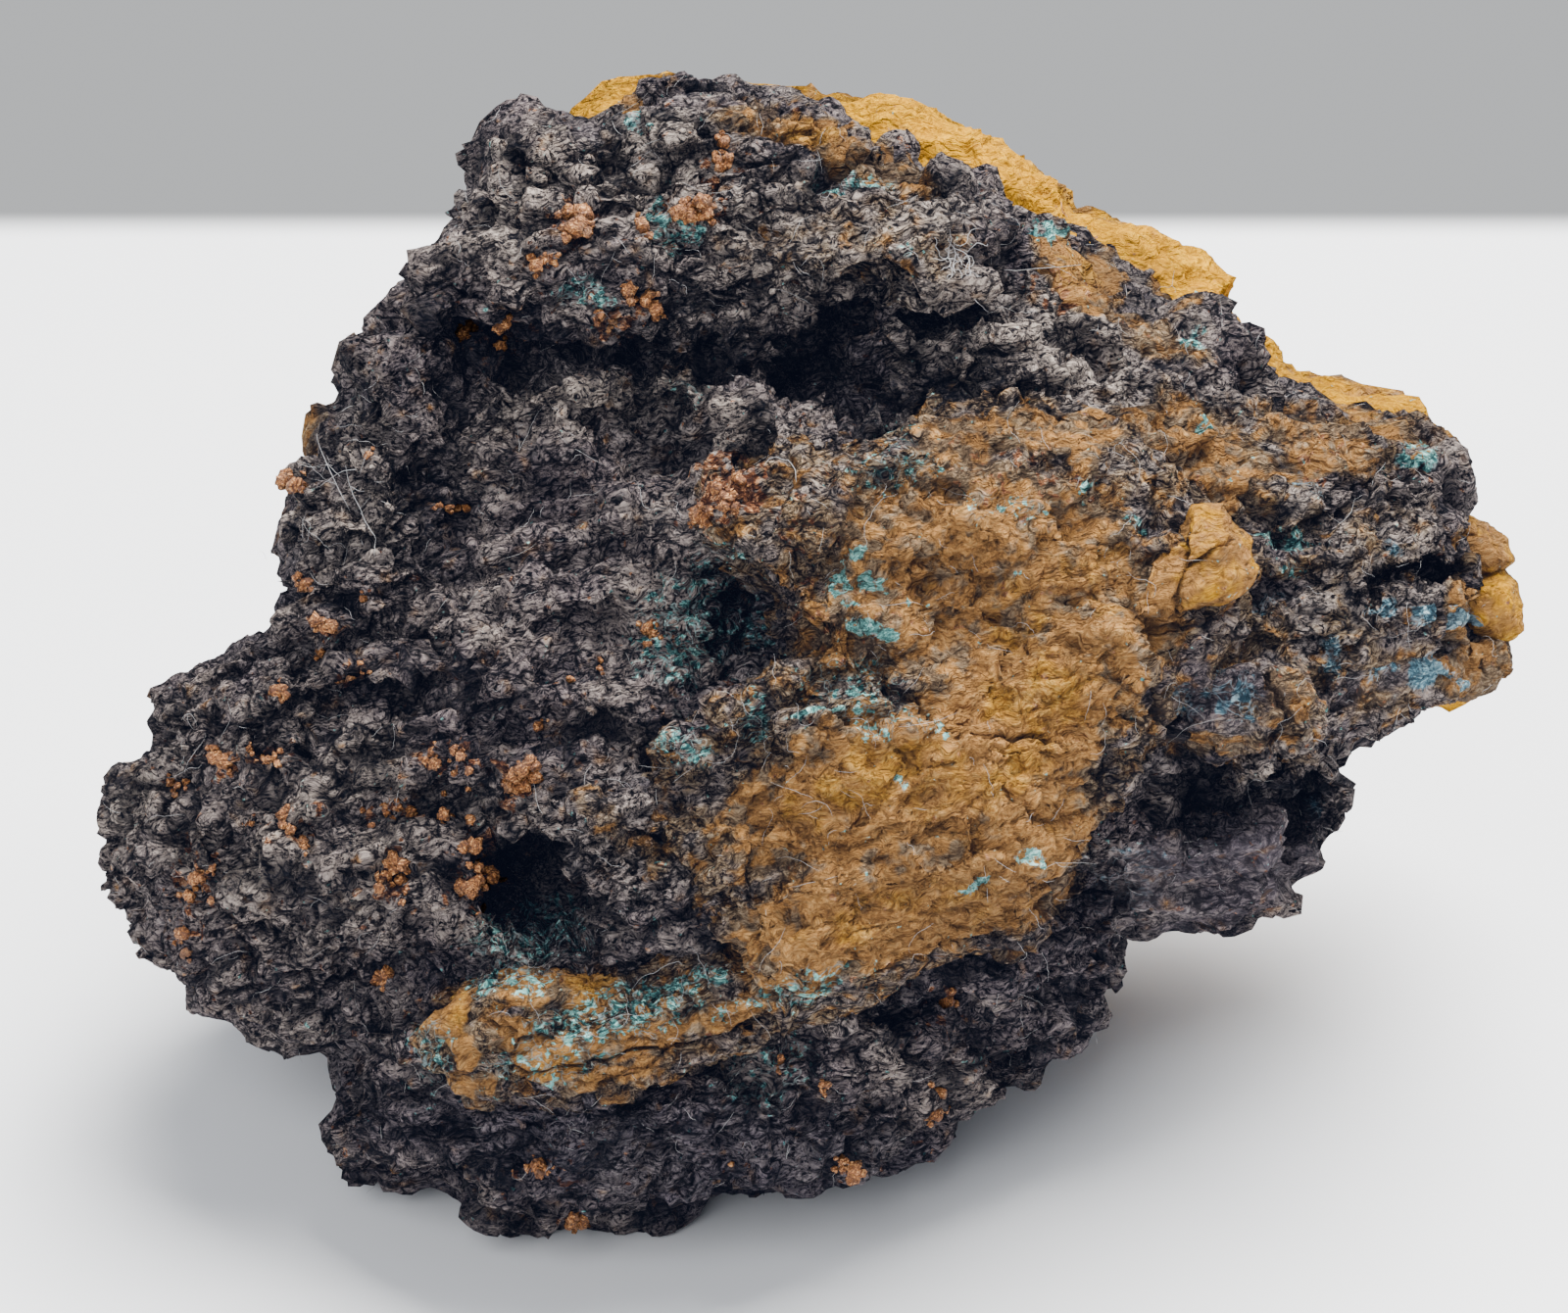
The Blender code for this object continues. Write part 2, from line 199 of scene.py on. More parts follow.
# %% [markdown]
# ## A sphere to start from
#
# Each lump starts as a sphere. A globe of latitudes and longitudes crowds its points at the poles, so a
# cube whose six sides are grids is blown up instead. The angles are even along each side, and the edges
# that two sides share are merged so that the skin is closed.

# %% Sphere grid
FRONT_BIAS = 0.33
SEEN_FROM_BEHIND = ("back_crust",)


def sphere_grid(steps):
    """(directions, faces) of a cube of grids blown up to a sphere, with the edges that sides share made one."""
    side = np.tan(np.linspace(-1, 1, steps + 1) * math.pi / 4)
    a, b = (x.ravel() for x in np.meshgrid(side, side, indexing="ij"))
    one = np.ones_like(a)
    sheets = [(one, a, b), (-one, b, a), (b, one, a), (a, -one, b), (a, b, one), (b, a, -one)]
    points = np.concatenate([np.stack(sheet, axis=1) for sheet in sheets])
    points /= np.linalg.norm(points, axis=1, keepdims=True)
    corner = (np.arange(steps)[:, None] * (steps + 1) + np.arange(steps)).ravel()
    quad = np.stack([corner, corner + steps + 1, corner + steps + 2, corner + 1], axis=1)
    quads = np.concatenate([quad + sheet * (steps + 1) ** 2 for sheet in range(6)])
    _, first, merged = np.unique(np.round(points, 6), axis=0, return_index=True, return_inverse=True)
    return points[first], merged.reshape(-1)[quads]


def crowded_to_front(directions, bias):
    """Directions turned towards the third axis by a share of the sine of their angle from it."""
    turn = np.arccos(np.clip(directions[:, 2], -1, 1))
    new_turn = turn - bias * np.sin(turn)
    spread = np.sin(new_turn) / np.maximum(np.sin(turn), 1e-9)
    return np.stack([directions[:, 0] * spread, directions[:, 1] * spread, np.cos(new_turn)], axis=1)


def vertex_normals(points, quads):
    """Each point's normal: the crossed diagonals of the quads around it, added up."""
    across = np.cross(points[quads[:, 2]] - points[quads[:, 0]], points[quads[:, 3]] - points[quads[:, 1]])
    normals = np.stack(
        [np.bincount(quads.ravel(), np.repeat(across[:, k], 4), len(points)) for k in range(3)], axis=1
    )
    return normals / np.maximum(np.linalg.norm(normals, axis=1, keepdims=True), 1e-12)


print("a grid of 4 steps a side has", len(sphere_grid(4)[1]), "faces")

# %% [markdown]
# ## The lumps and their outlines
#
# The nugget is read as fifteen lumps that grew together: the dark mass, the upper lobe with its overhanging
# lip and its brow, the lobe and the shoulder on the left, the ochre block with its tongue and knob, the
# right end with a flake, a brown chunk beside the deepest hole, the ochre crust behind the upper rim and
# three more knobs at the right. Each outline goes round one lump clockwise, in pixels.

# %% Outlines of the lumps
MASS_OUTLINE = (
    (506, 132), (530, 130), (570, 142), (610, 134), (655, 106), (700, 94), (770, 96), (826, 118),
    (900, 150), (990, 192), (1082, 246), (1184, 284), (1245, 315), (1290, 360), (1350, 402),
    (1440, 425), (1475, 450), (1490, 490), (1488, 525), (1492, 600), (1496, 640), (1494, 700),
    (1455, 730), (1430, 752), (1395, 770), (1374, 790), (1380, 815), (1346, 868), (1318, 920),
    (1224, 940), (1150, 958), (1120, 1004), (1122, 1036), (1078, 1078), (984, 1132), (956, 1166),
    (860, 1210), (760, 1224), (650, 1248), (590, 1258), (480, 1244), (436, 1214), (368, 1206),
    (332, 1160), (344, 1122), (338, 1074), (262, 1046), (212, 1024), (200, 984), (158, 984),
    (134, 944), (104, 886), (114, 832), (110, 780), (136, 745), (162, 690), (228, 664), (286, 636),
    (298, 604), (290, 545), (290, 492), (334, 476), (332, 440), (366, 392), (356, 374), (386, 350),
    (412, 284), (458, 270), (466, 240), (482, 228), (496, 172), (502, 150),
)
UPPER_LOBE_OUTLINE = (
    (508, 140), (566, 148), (612, 142), (646, 108), (664, 88), (698, 80), (736, 86), (792, 100),
    (828, 120), (903, 152), (990, 196),
    (1036, 246), (1030, 300), (985, 322), (900, 300), (830, 318), (770, 305), (740, 335), (690, 352),
    (650, 332), (560, 350), (485, 322), (434, 350), (412, 330), (412, 282), (464, 242), (494, 165),
)
BROW_OUTLINE = (
    (765, 215), (820, 195), (900, 190), (960, 205), (1005, 240), (1010, 290), (965, 312), (900, 290),
    (850, 312), (790, 305), (762, 265),
)
LEFT_LOBE_OUTLINE = (
    (114, 782), (142, 745), (176, 688), (214, 660), (250, 640), (286, 646), (330, 692), (430, 735),
    (490, 790), (512, 850),
    (500, 930), (515, 985), (440, 1000), (405, 1050), (338, 1068), (262, 1048), (212, 1026),
    (160, 984), (106, 887),
)
SHOULDER_OUTLINE = (
    (292, 495), (340, 474), (334, 438), (380, 348), (408, 288), (462, 320), (470, 400), (450, 500),
    (446, 620), (410, 690), (310, 696), (262, 672), (296, 628), (292, 550),
)
BLOCK_OUTLINE = (
    (720, 505), (790, 455), (880, 430), (960, 405), (1060, 395), (1140, 430), (1230, 500),
    (1290, 560), (1300, 640), (1240, 700), (1190, 770), (1115, 830), (1100, 880), (1080, 925),
    (1050, 965), (960, 990), (860, 1020), (800, 1050), (770, 1000), (720, 930), (672, 870),
    (655, 800), (665, 735), (760, 690), (800, 655), (790, 600), (730, 560),
)
TONGUE_OUTLINE = (
    (412, 1045), (445, 995), (520, 980), (625, 975), (740, 955), (900, 930), (1000, 955), (940, 998),
    (860, 1030), (790, 1070), (740, 1095), (660, 1122), (560, 1143), (480, 1125), (425, 1098),
)
RIGHT_END_OUTLINE = (
    (1180, 705), (1230, 660), (1300, 600), (1340, 520), (1420, 450), (1478, 470), (1490, 525),
    (1496, 590), (1502, 640), (1500, 696), (1450, 730), (1380, 764), (1300, 800), (1225, 775),
    (1170, 760),
)
FLAKE_OUTLINE = (
    (1180, 690), (1260, 670), (1330, 680), (1378, 735), (1350, 772), (1290, 770), (1240, 780), (1185, 760),
)
CHUNK_OUTLINE = (
    (525, 815), (575, 785), (640, 792), (680, 830), (735, 865), (765, 920), (720, 962), (650, 955),
    (598, 915), (575, 860), (540, 845),
)
BACK_CRUST_OUTLINE = (
    (570, 134), (602, 112), (650, 104), (700, 104), (760, 94), (820, 92), (908, 102), (968, 122),
    (1044, 160),
    (1102, 212), (1180, 234), (1230, 254), (1254, 282), (1266, 338), (1322, 384), (1444, 398),
    (1486, 430), (1494, 490), (1500, 540), (1528, 568), (1540, 594), (1542, 620), (1524, 655),
    (1508, 700), (1440, 726), (1320, 796), (1250, 870), (1120, 930), (960, 950), (760, 900),
    (600, 800), (480, 640), (430, 460), (470, 280), (510, 170),
)
OCHRE_KNOB_OUTLINE = (
    (1158, 622), (1166, 572), (1204, 548), (1216, 514), (1252, 508), (1276, 545), (1282, 592),
    (1250, 622), (1196, 636),
)
WEDGE_KNOB_OUTLINE = ((1478, 520), (1504, 526), (1542, 548), (1550, 574), (1524, 592), (1484, 584))
ROUND_KNOB_OUTLINE = (
    (1500, 588), (1530, 576), (1554, 592), (1562, 616), (1552, 642), (1526, 656), (1498, 648), (1488, 618),
)
LOW_KNOB_OUTLINE = ((1474, 664), (1500, 650), (1534, 656), (1544, 680), (1528, 706), (1496, 718), (1468, 710))

# name: outline, middle in pixels, front bulge, back bulge, depth, lean along right and up, boxiness
LUMPS = {
    "mass": (MASS_OUTLINE, (800, 650), 17.0, 20.0, 0.0, (0.0, -0.20), 2.4),
    "upper_lobe": (UPPER_LOBE_OUTLINE, (720, 215), 6.0, 14.0, 5.8, (0.02, -0.42), 3.0),
    "brow": (BROW_OUTLINE, (885, 250), 3.4, 8.0, 9.6, (0.05, -0.30), 2.6),
    "left_lobe": (LEFT_LOBE_OUTLINE, (320, 865), 7.0, 12.0, 6.5, (0.34, 0.02), 2.8),
    "shoulder": (SHOULDER_OUTLINE, (370, 530), 5.0, 10.0, 7.6, (0.42, -0.20), 2.4),
    "block": (BLOCK_OUTLINE, (950, 720), 7.5, 12.0, 13.5, (-0.12, -0.22), 3.6),
    "tongue": (TONGUE_OUTLINE, (660, 1045), 6.5, 9.0, 13.4, (0.03, -0.10), 3.2),
    "right_end": (RIGHT_END_OUTLINE, (1370, 635), 6.0, 10.0, 6.5, (-0.28, -0.12), 3.2),
    "flake": (FLAKE_OUTLINE, (1280, 725), 2.6, 6.0, 13.2, (-0.20, -0.10), 3.4),
    "chunk": (CHUNK_OUTLINE, (640, 872), 4.0, 8.0, 16.8, (0.05, -0.10), 3.0),
    "back_crust": (BACK_CRUST_OUTLINE, (1010, 520), 6.0, 13.0, -8.5, (0.0, -0.20), 3.0),
    "ochre_knob": (OCHRE_KNOB_OUTLINE, (1222, 578), 2.2, 5.0, 15.7, (-0.30, -0.25), 2.8),
    "wedge_knob": (WEDGE_KNOB_OUTLINE, (1510, 556), 2.6, 3.6, 1.5, (-0.30, -0.20), 2.6),
    "round_knob": (ROUND_KNOB_OUTLINE, (1526, 616), 2.8, 4.2, 1.5, (-0.30, 0.0), 2.4),
    "low_knob": (LOW_KNOB_OUTLINE, (1506, 684), 2.6, 4.4, 2.5, (-0.30, 0.10), 2.6),
}
PITTED_LUMPS = ("mass", "right_end")
print(len(LUMPS), "lumps")

# %% [markdown]
# ## From an outline to a pebble
#
# A lump is a superellipsoid: a rounded box whose boxiness is an exponent. Round its rim it reaches as far
# as the outline does at that angle, and towards the middle of its face the outline's small corners are
# averaged away. It bulges by its own amount to the front and to the back.

# %% Outline reach
CORNERS_FADE_FROM = 0.35
CORNERS_FULL_AT = 0.85
POINTS_A_SIDE = 12
SMOOTHED_DEGREES = 30


def outline_reach(outline, middle, angle):
    """How far the outline is from the middle at each angle, and the same with its corners averaged away."""
    corners = from_pixels(outline) - from_pixels(middle)
    share = np.linspace(0, 1, POINTS_A_SIDE, endpoint=False)[:, None, None]
    line = (corners * (1 - share) + np.roll(corners, -1, axis=0) * share).reshape(-1, 2)
    turn = np.arctan2(line[:, 1], line[:, 0])
    order = np.argsort(turn)
    even = np.radians(np.arange(-180, 180))
    reach = np.interp(even, turn[order], np.hypot(*line.T)[order], period=2 * math.pi)
    window = np.hanning(2 * SMOOTHED_DEGREES + 1)
    around = np.concatenate([reach[-SMOOTHED_DEGREES:], reach, reach[:SMOOTHED_DEGREES]])
    smooth = np.convolve(around, window / window.sum(), "valid")
    exact = np.interp(angle, turn[order], np.hypot(*line.T)[order], period=2 * math.pi)
    return exact, np.interp(angle, even, smooth, period=2 * math.pi)


def pebble(name, directions):
    """A lump's smooth skin: rim and bulge to the same power add up to one, and the lean slants its face."""
    outline, middle, front, back, depth, lean, boxiness = LUMPS[name]
    right, up, out = directions.T
    rim = np.hypot(right, up)
    exact, smooth = outline_reach(outline, middle, np.arctan2(up, right))
    reach = smooth + (exact - smooth) * smooth_step(CORNERS_FADE_FROM, CORNERS_FULL_AT, rim)
    swell = (rim**boxiness + np.abs(out) ** boxiness) ** (-1 / boxiness)
    thickness = np.where(out > 0, front, back)
    seen = np.stack([right * reach, up * reach, out * thickness], axis=1) * swell[:, None]
    seen[:, 2] += depth + seen[:, :2] @ lean
    seen[:, :2] += from_pixels(middle)
    return seen


mass_reach, _ = outline_reach(MASS_OUTLINE, LUMPS["mass"][1], np.zeros(1))
print("the mass reaches", round(float(mass_reach[0]), 1), "mm to the right")

# %% [markdown]
# ## Pits and swells
#
# Holes and hollows decide how such a rock looks, because they stay dark. Each is an ellipse on the viewer's
# side of the mass with a depth. Noise moves the ellipse's edge about, so that no hole is a neat oval.

# %% Pits
PIT_WANDER = 1.1
# middle and half widths in pixels, turn in degrees, height in millimetres, softness of the edge
PITS = (
    (550, 892, 58, 66, 10, -10.5, 0.45),
    (690, 800, 34, 50, -25, -5.0, 0.50),
    (842, 372, 78, 52, 15, -8.0, 0.45),
    (960, 322, 62, 22, -8, -4.5, 0.50),
    (690, 372, 74, 34, 8, -5.0, 0.50),
    (560, 352, 110, 26, -2, -3.5, 0.60),
    (765, 610, 50, 70, 25, -5.0, 0.55),
    (1462, 592, 66, 24, 12, -5.0, 0.50),
    (1278, 818, 120, 42, -6, -5.5, 0.55),
    (680, 450, 82, 44, -20, -2.6, 0.70),
    (345, 718, 120, 24, 6, -3.4, 0.60),
    (462, 480, 20, 140, -4, -2.0, 0.90),
    (600, 560, 160, 150, 0, -1.8, 0.90),
    (250, 858, 42, 16, 0, -2.0, 0.60),
    (980, 1040, 220, 36, -24, -3.0, 0.80),
    (1130, 880, 70, 60, -30, -2.5, 0.80),
    (590, 700, 150, 40, -14, 1.5, 0.90),
    (760, 1170, 260, 70, -6, 2.2, 0.90),
    (1010, 340, 150, 60, -20, 1.2, 0.90),
)


def on_ellipse(flat, x, y, half_x, half_y, turn):
    """How far each point is from an ellipse's middle, counted in the ellipse's own half widths."""
    away = flat - from_pixels((x, y))
    sin, cos = math.sin(math.radians(turn)), math.cos(math.radians(turn))
    along = (away[:, 0] * cos + away[:, 1] * sin) / (half_x * MM_PER_PIXEL)
    up = (away[:, 1] * cos - away[:, 0] * sin) / (half_y * MM_PER_PIXEL)
    return np.hypot(along, up)


def pit_depth(seen):
    """The height that the pits and swells add towards the viewer, with edges that wander."""
    flat = seen[:, :2] + wander(seen, 3.0, 0.0, 40.0, PIT_WANDER)
    height = np.zeros(len(seen))
    for x, y, half_x, half_y, turn, rise, edge in PITS:
        away = on_ellipse(flat, x, y, half_x, half_y, turn)
        height += rise * (1 - smooth_step(1 - edge, 1 + 0.4 * edge, away))
    return height


print(len(PITS), "pits and swells")

# %% [markdown]
# ## Coarse roughness
#
# Three things stand out of the smooth form: clumps the size of a pea, crumbs, and the broken edges of beds.
# The beds are noise squeezed across the layers, which here rise a little to the right. Limonite is smoother
# than the oxide, so its lumps take only a share. The CAD solid has these too.

# %% Coarse roughness
BEDDING_TURN = math.radians(10.0)
LAYER = 2.6
LAYER_STRETCH = 5.0
CLUMP = 5.5
CLUMP_RISE = 1.1
CRUMB = 2.4
CRUMB_RISE = 0.9
LEDGE_RISE = 1.7
RIDGE_LEVEL = 0.28
FAR_SWELL = 13.0
FAR_SWELL_RISE = 2.2
OUTLINE_ALLOWANCE = 0.45
ROUGHNESS_SHARE = {
    "back_crust": 0.65, "ochre_knob": 0.40, "wedge_knob": 0.35, "round_knob": 0.35, "low_knob": 0.35,
    "flake": 0.60, "tongue": 0.65, "block": 0.80,
}


def bedding(seen, turn=BEDDING_TURN):
    """Points turned so that their second number runs across the layers."""
    sin, cos = math.sin(turn), math.cos(turn)
    turned = seen.copy()
    turned[:, 0] = seen[:, 0] * cos + seen[:, 1] * sin
    turned[:, 1] = seen[:, 1] * cos - seen[:, 0] * sin
    return turned


def roughness(seen):
    """How far the rock stands out of its smooth form: clumps, crumbs and the broken edges of layers."""
    clumps = CLUMP_RISE * layered_noise(seen / CLUMP, 2)
    crumbs = CRUMB_RISE * (RIDGE_LEVEL - np.abs(noise(seen / CRUMB + 11.0)))
    layers = bedding(seen) / (LAYER * LAYER_STRETCH, LAYER, LAYER * LAYER_STRETCH)
    ledges = LEDGE_RISE * (RIDGE_LEVEL - np.abs(noise(layers + 5.0)))
    far_side = FAR_SWELL_RISE * noise(seen / FAR_SWELL + 3.0) * (1 - smooth_step(-10.0, 0.0, seen[:, 2]))
    return clumps + crumbs + ledges + far_side - OUTLINE_ALLOWANCE


print("roughness spreads over", np.round(np.percentile(roughness(sample), (2, 50, 98)), 2).tolist(), "mm")

# %% [markdown]
# ## Where the minerals are
#
# The ochre crust, the green and blue minerals and the copper each grow in their own places. Those places
# are soft ellipses on the viewer's side, and a lump of limonite is ochre all over, so that the colour ends
# where the lump does. On the far side, where there is nothing to follow, slow noise spreads them. Every
# vertex keeps the amounts as attributes, and the material turns them into colour.

# %% Mineral patches
# middle and half widths in pixels, turn in degrees, amount
CRUST_OCHRE = (
    (1010, 590, 190, 130, -8, 0.62), (1130, 640, 90, 70, 20, 0.66), (930, 800, 210, 90, 16, 0.90),
    (1040, 735, 120, 80, 20, 1.00), (920, 930, 190, 62, 12, 0.86), (1040, 850, 90, 60, 20, 0.84),
    (870, 640, 90, 60, 0, 0.42), (1000, 445, 90, 34, 6, 0.52), (1100, 440, 60, 30, -10, 0.60),
    (452, 1030, 26, 34, 10, 1.00), (466, 1068, 24, 18, 0, 1.00), (540, 1004, 34, 20, 10, 1.00),
    (604, 1002, 34, 24, 0, 1.00), (560, 1080, 44, 24, 8, 0.92), (520, 1050, 26, 20, 0, 0.85),
    (650, 1060, 60, 22, 16, 0.72), (740, 1040, 60, 20, 18, 0.66), (860, 985, 110, 20, 16, 0.80),
    (620, 1100, 60, 14, 12, 0.66), (480, 1108, 24, 14, 0, 0.85),
)
ROCK_OCHRE = (
    (885, 250, 110, 56, 0, 0.20), (1215, 470, 100, 60, -20, 0.50), (1100, 275, 50, 34, -20, 0.90),
    (1120, 310, 40, 26, -20, 0.55),
    (835, 138, 60, 20, -14, 0.66), (770, 120, 40, 16, 0, 0.40), (900, 170, 60, 18, -20, 0.42),
    (640, 108, 26, 10, 0, 0.70), (1320, 730, 26, 34, -30, 0.26), (1265, 758, 36, 10, 0, 0.34),
    (1350, 450, 90, 30, -20, 0.46), (1345, 470, 26, 20, 0, 0.70), (640, 850, 60, 26, -30, 0.30),
    (1190, 520, 60, 40, 0, 0.60), (1180, 340, 60, 24, -28, 0.40), (1400, 425, 60, 18, -8, 0.90),
    (1450, 440, 44, 24, -20, 0.95), (1210, 285, 40, 24, -20, 0.70), (1300, 640, 34, 20, 0, 0.34),
    (1505, 610, 26, 80, 0, 0.72), (1490, 690, 40, 30, 0, 0.55), (1225, 642, 70, 26, -20, 0.62),
    (1160, 700, 50, 60, 0, 0.55), (1320, 705, 34, 36, -20, 0.40), (1230, 760, 60, 14, -12, 0.40),
    (1430, 700, 60, 20, -16, 0.22),
    (1130, 560, 50, 60, 0, 0.60), (1060, 880, 40, 60, 30, 0.40), (1260, 450, 90, 14, -35, 0.62),
    (1370, 560, 100, 60, 10, 0.20), (1400, 680, 110, 70, 0, 0.22), (1300, 740, 60, 40, 0, 0.24),
)
# the least ochre that a lump has by itself
HOME_OCHRE = {
    "block": 0.26, "tongue": 0.30, "ochre_knob": 1.0, "back_crust": 0.95, "wedge_knob": 1.0,
    "round_knob": 1.0, "low_knob": 0.40,
}
HOME_BRIGHT = {"ochre_knob": 0.36, "back_crust": 0.95, "wedge_knob": 0.3, "round_knob": 0.5}
# how even and fine a lump's crust is
HOME_SMOOTH = {
    "ochre_knob": 0.36, "back_crust": 0.50, "wedge_knob": 0.4, "round_knob": 0.5, "low_knob": 0.3,
    "flake": 0.3,
}
# how much paler than the darkest oxide: dust everywhere, dust and painted light in the patches above zero, and
# painted shade, low down and under overhangs, in those below zero
DUST_EVERYWHERE = 0.28
DUST_AND_PAINTED_LIGHT_PATCHES = (
    (860, 250, 118, 66, 0, 1.20), (600, 190, 180, 80, 0, 0.50), (1020, 350, 130, 66, -20, 0.80),
    (1190, 440, 150, 60, -20, 0.45), (640, 415, 150, 50, -6, 0.35), (350, 500, 70, 110, 0, 0.44),
    (640, 855, 90, 50, -20, 0.15), (1430, 640, 110, 90, 0, 0.20), (1300, 785, 80, 20, 0, 0.40),
    (800, 480, 70, 50, 0, 0.55), (140, 800, 40, 120, 0, 0.25), (1380, 530, 90, 50, 0, 0.25),
    (760, 1180, 360, 90, -8, -0.40), (400, 1170, 130, 90, 0, -0.25), (1150, 1010, 220, 110, -30, -0.24),
    (560, 600, 130, 90, 0, -0.10), (1250, 880, 130, 60, 0, -0.55), (930, 330, 60, 40, 0, -0.30),
    (498, 126, 14, 22, 0, 0.90), (300, 860, 170, 130, 0, 0.24), (1232, 706, 60, 38, -10, -0.60),
    (620, 400, 110, 40, -4, 0.20),
)
BRIGHT_OCHRE_PATCHES = (
    (870, 800, 44, 30, -20, 0.62), (905, 775, 60, 34, 10, 0.52), (1060, 715, 60, 50, 10, 0.66),
    (1040, 640, 30, 50, 10, 0.42), (1000, 790, 90, 34, 16, 0.48), (900, 935, 120, 26, 12, 0.40),
    (456, 1030, 30, 26, 0, 0.40), (604, 1002, 32, 22, 8, 0.50), (560, 1080, 30, 16, 8, 0.36),
    (1100, 275, 30, 20, -20, 0.5), (1450, 435, 30, 14, -20, 0.6), (1400, 418, 50, 12, -8, 0.6),
    (830, 132, 30, 12, -14, 0.5), (820, 830, 26, 24, 0, 0.60), (1120, 590, 60, 40, 0, 0.30),
)
GREEN_PATCHES = (
    (1450, 465, 26, 14, 24, 1.0), (1320, 552, 32, 10, 6, 0.9), (1290, 545, 16, 7, 0, 0.7),
    (1318, 580, 14, 8, 0, 0.7), (1220, 348, 16, 12, -20, 0.9), (1225, 430, 10, 8, 0, 0.9),
    (1105, 490, 11, 11, 0, 1.0), (1080, 240, 24, 6, -10, 0.9), (1325, 408, 8, 8, 0, 0.7),
    (885, 566, 10, 7, 0, 1.0), (862, 590, 14, 20, -20, 0.7), (893, 600, 13, 12, 0, 1.0),
    (888, 645, 32, 9, -16, 1.0), (930, 604, 9, 11, 0, 0.9), (838, 729, 34, 6, -3, 1.0),
    (868, 614, 9, 6, 0, 0.9),
    (880, 708, 12, 7, 0, 0.8), (765, 740, 18, 30, 0, 0.55), (965, 745, 7, 6, 0, 1.0),
    (1034, 588, 6, 6, 0, 0.8),
    (912, 800, 6, 9, 0, 1.0), (1000, 905, 12, 7, 20, 0.9), (985, 916, 9, 6, 0, 1.0),
    (1050, 872, 9, 7, 0, 0.7), (700, 640, 66, 60, 0, 0.44), (735, 600, 44, 56, 0, 0.42),
    (690, 668, 50, 26, 10, 0.50), (760, 645, 36, 30, 0, 0.52), (540, 950, 70, 36, 10, 0.50),
    (520, 1000, 60, 16, 4, 0.55),
    (620, 1035, 110, 34, 12, 0.56), (690, 1002, 60, 18, 10, 0.66), (800, 1015, 90, 16, 18, 0.50),
    (850, 180, 28, 11, 0, 0.62), (900, 186, 24, 10, 0, 0.62), (690, 235, 34, 20, -10, 0.60),
    (600, 300, 34, 20, 0, 0.52), (655, 130, 8, 7, 0, 0.6), (925, 258, 12, 10, 0, 0.66),
    (560, 1080, 90, 30, 8, 0.36), (700, 400, 20, 12, 0, 0.45), (905, 730, 60, 26, 0, 0.34),
    (700, 760, 36, 26, 0, 0.45), (1160, 530, 10, 9, 0, 0.7), (870, 690, 70, 26, 0, 0.34),
    (800, 1085, 40, 14, 10, 0.4), (1010, 1075, 30, 14, 10, 0.3), (780, 1100, 60, 40, 10, 0.3),
    (910, 470, 50, 40, 0, 0.34), (1030, 520, 60, 20, 0, 0.3), (440, 1080, 20, 50, 0, 0.40),
)
BLUE_PATCHES = (
    (1415, 620, 20, 11, 0, 0.8), (1456, 630, 13, 13, 0, 0.8), (1498, 633, 13, 12, 0, 1.0),
    (1456, 684, 20, 20, 0, 1.0), (1480, 692, 12, 8, 0, 0.8), (1410, 690, 14, 9, 0, 0.7),
    (1360, 670, 20, 18, 0, 0.6), (1430, 560, 14, 8, 0, 0.7), (1262, 706, 32, 24, 20, 0.46),
    (1222, 712, 30, 16, 20, 0.34), (1330, 490, 16, 12, 0, 0.5), (1290, 620, 14, 10, 0, 0.4),
    (1350, 830, 14, 14, 0, 0.6), (1150, 900, 60, 50, 0, 0.25),
)
COPPER_STAINS = (
    (585, 228, 34, 26, 0, 0.7), (555, 262, 34, 22, 0, 0.6), (495, 344, 50, 24, 0, 0.7),
    (640, 316, 46, 24, 0, 0.7), (708, 218, 36, 26, 0, 0.8), (738, 168, 24, 36, 0, 0.7),
    (294, 492, 34, 14, 10, 0.8), (745, 500, 40, 36, 30, 1.0), (716, 526, 22, 18, 0, 1.0),
    (400, 895, 28, 32, 0, 0.7), (490, 885, 34, 50, 0, 0.7), (525, 800, 34, 28, 0, 0.7),
    (455, 772, 50, 24, 0, 0.5), (245, 775, 60, 22, 0, 0.6), (198, 905, 30, 60, 0, 0.6),
    (300, 845, 40, 34, 0, 0.4), (545, 1194, 50, 12, 0, 0.6), (590, 1248, 16, 10, 0, 0.7),
    (860, 1192, 30, 16, 0, 0.4), (400, 825, 50, 20, 0, 0.5), (362, 688, 30, 14, 0, 0.6),
    (335, 640, 30, 14, 0, 0.5), (665, 645, 16, 24, 0, 0.7), (1070, 300, 40, 26, 0, 0.5),
    (1350, 468, 40, 26, 0, 0.5), (1040, 490, 70, 40, 0, 0.4), (960, 1030, 30, 26, 0, 0.4),
    (830, 530, 60, 40, 0, 0.3), (860, 620, 80, 50, 0, 0.35),
)
# where dirt dulls the limonite, where painted shade darkens the rock, mostly low down, and where it has smooth
# faces
DIRT_PATCHES = (
    (1400, 415, 120, 50, -15, 0.34), (1226, 590, 60, 60, 0, 0.20), (1520, 625, 50, 110, 0, 0.34),
    (905, 800, 70, 50, 0, 0.22), (930, 930, 180, 60, 14, 0.20), (780, 1070, 90, 26, 16, 0.24),
    (1250, 720, 100, 50, 0, 0.28), (1160, 272, 60, 34, -20, 0.55), (1222, 575, 60, 60, 0, 0.26),
)
SHADED_PATCHES = (
    (760, 1190, 400, 76, -8, 0.85), (1130, 1010, 230, 90, -30, 0.50), (1240, 890, 120, 56, 16, 0.70),
    (640, 870, 80, 70, 0, 0.20), (1250, 715, 90, 46, 0, 0.30),
)
SMOOTH_PATCHES = (
    (1235, 890, 120, 56, 16, 0.80), (1250, 712, 90, 50, 10, 0.40), (1420, 700, 60, 36, 12, 0.50),
)
PATCH_WANDER = 0.7
# how much of a patch is lost where the rock turns away
BROKEN_BESIDE = 0.85
CRUST_LUMPS = ("block", "tongue", "ochre_knob")


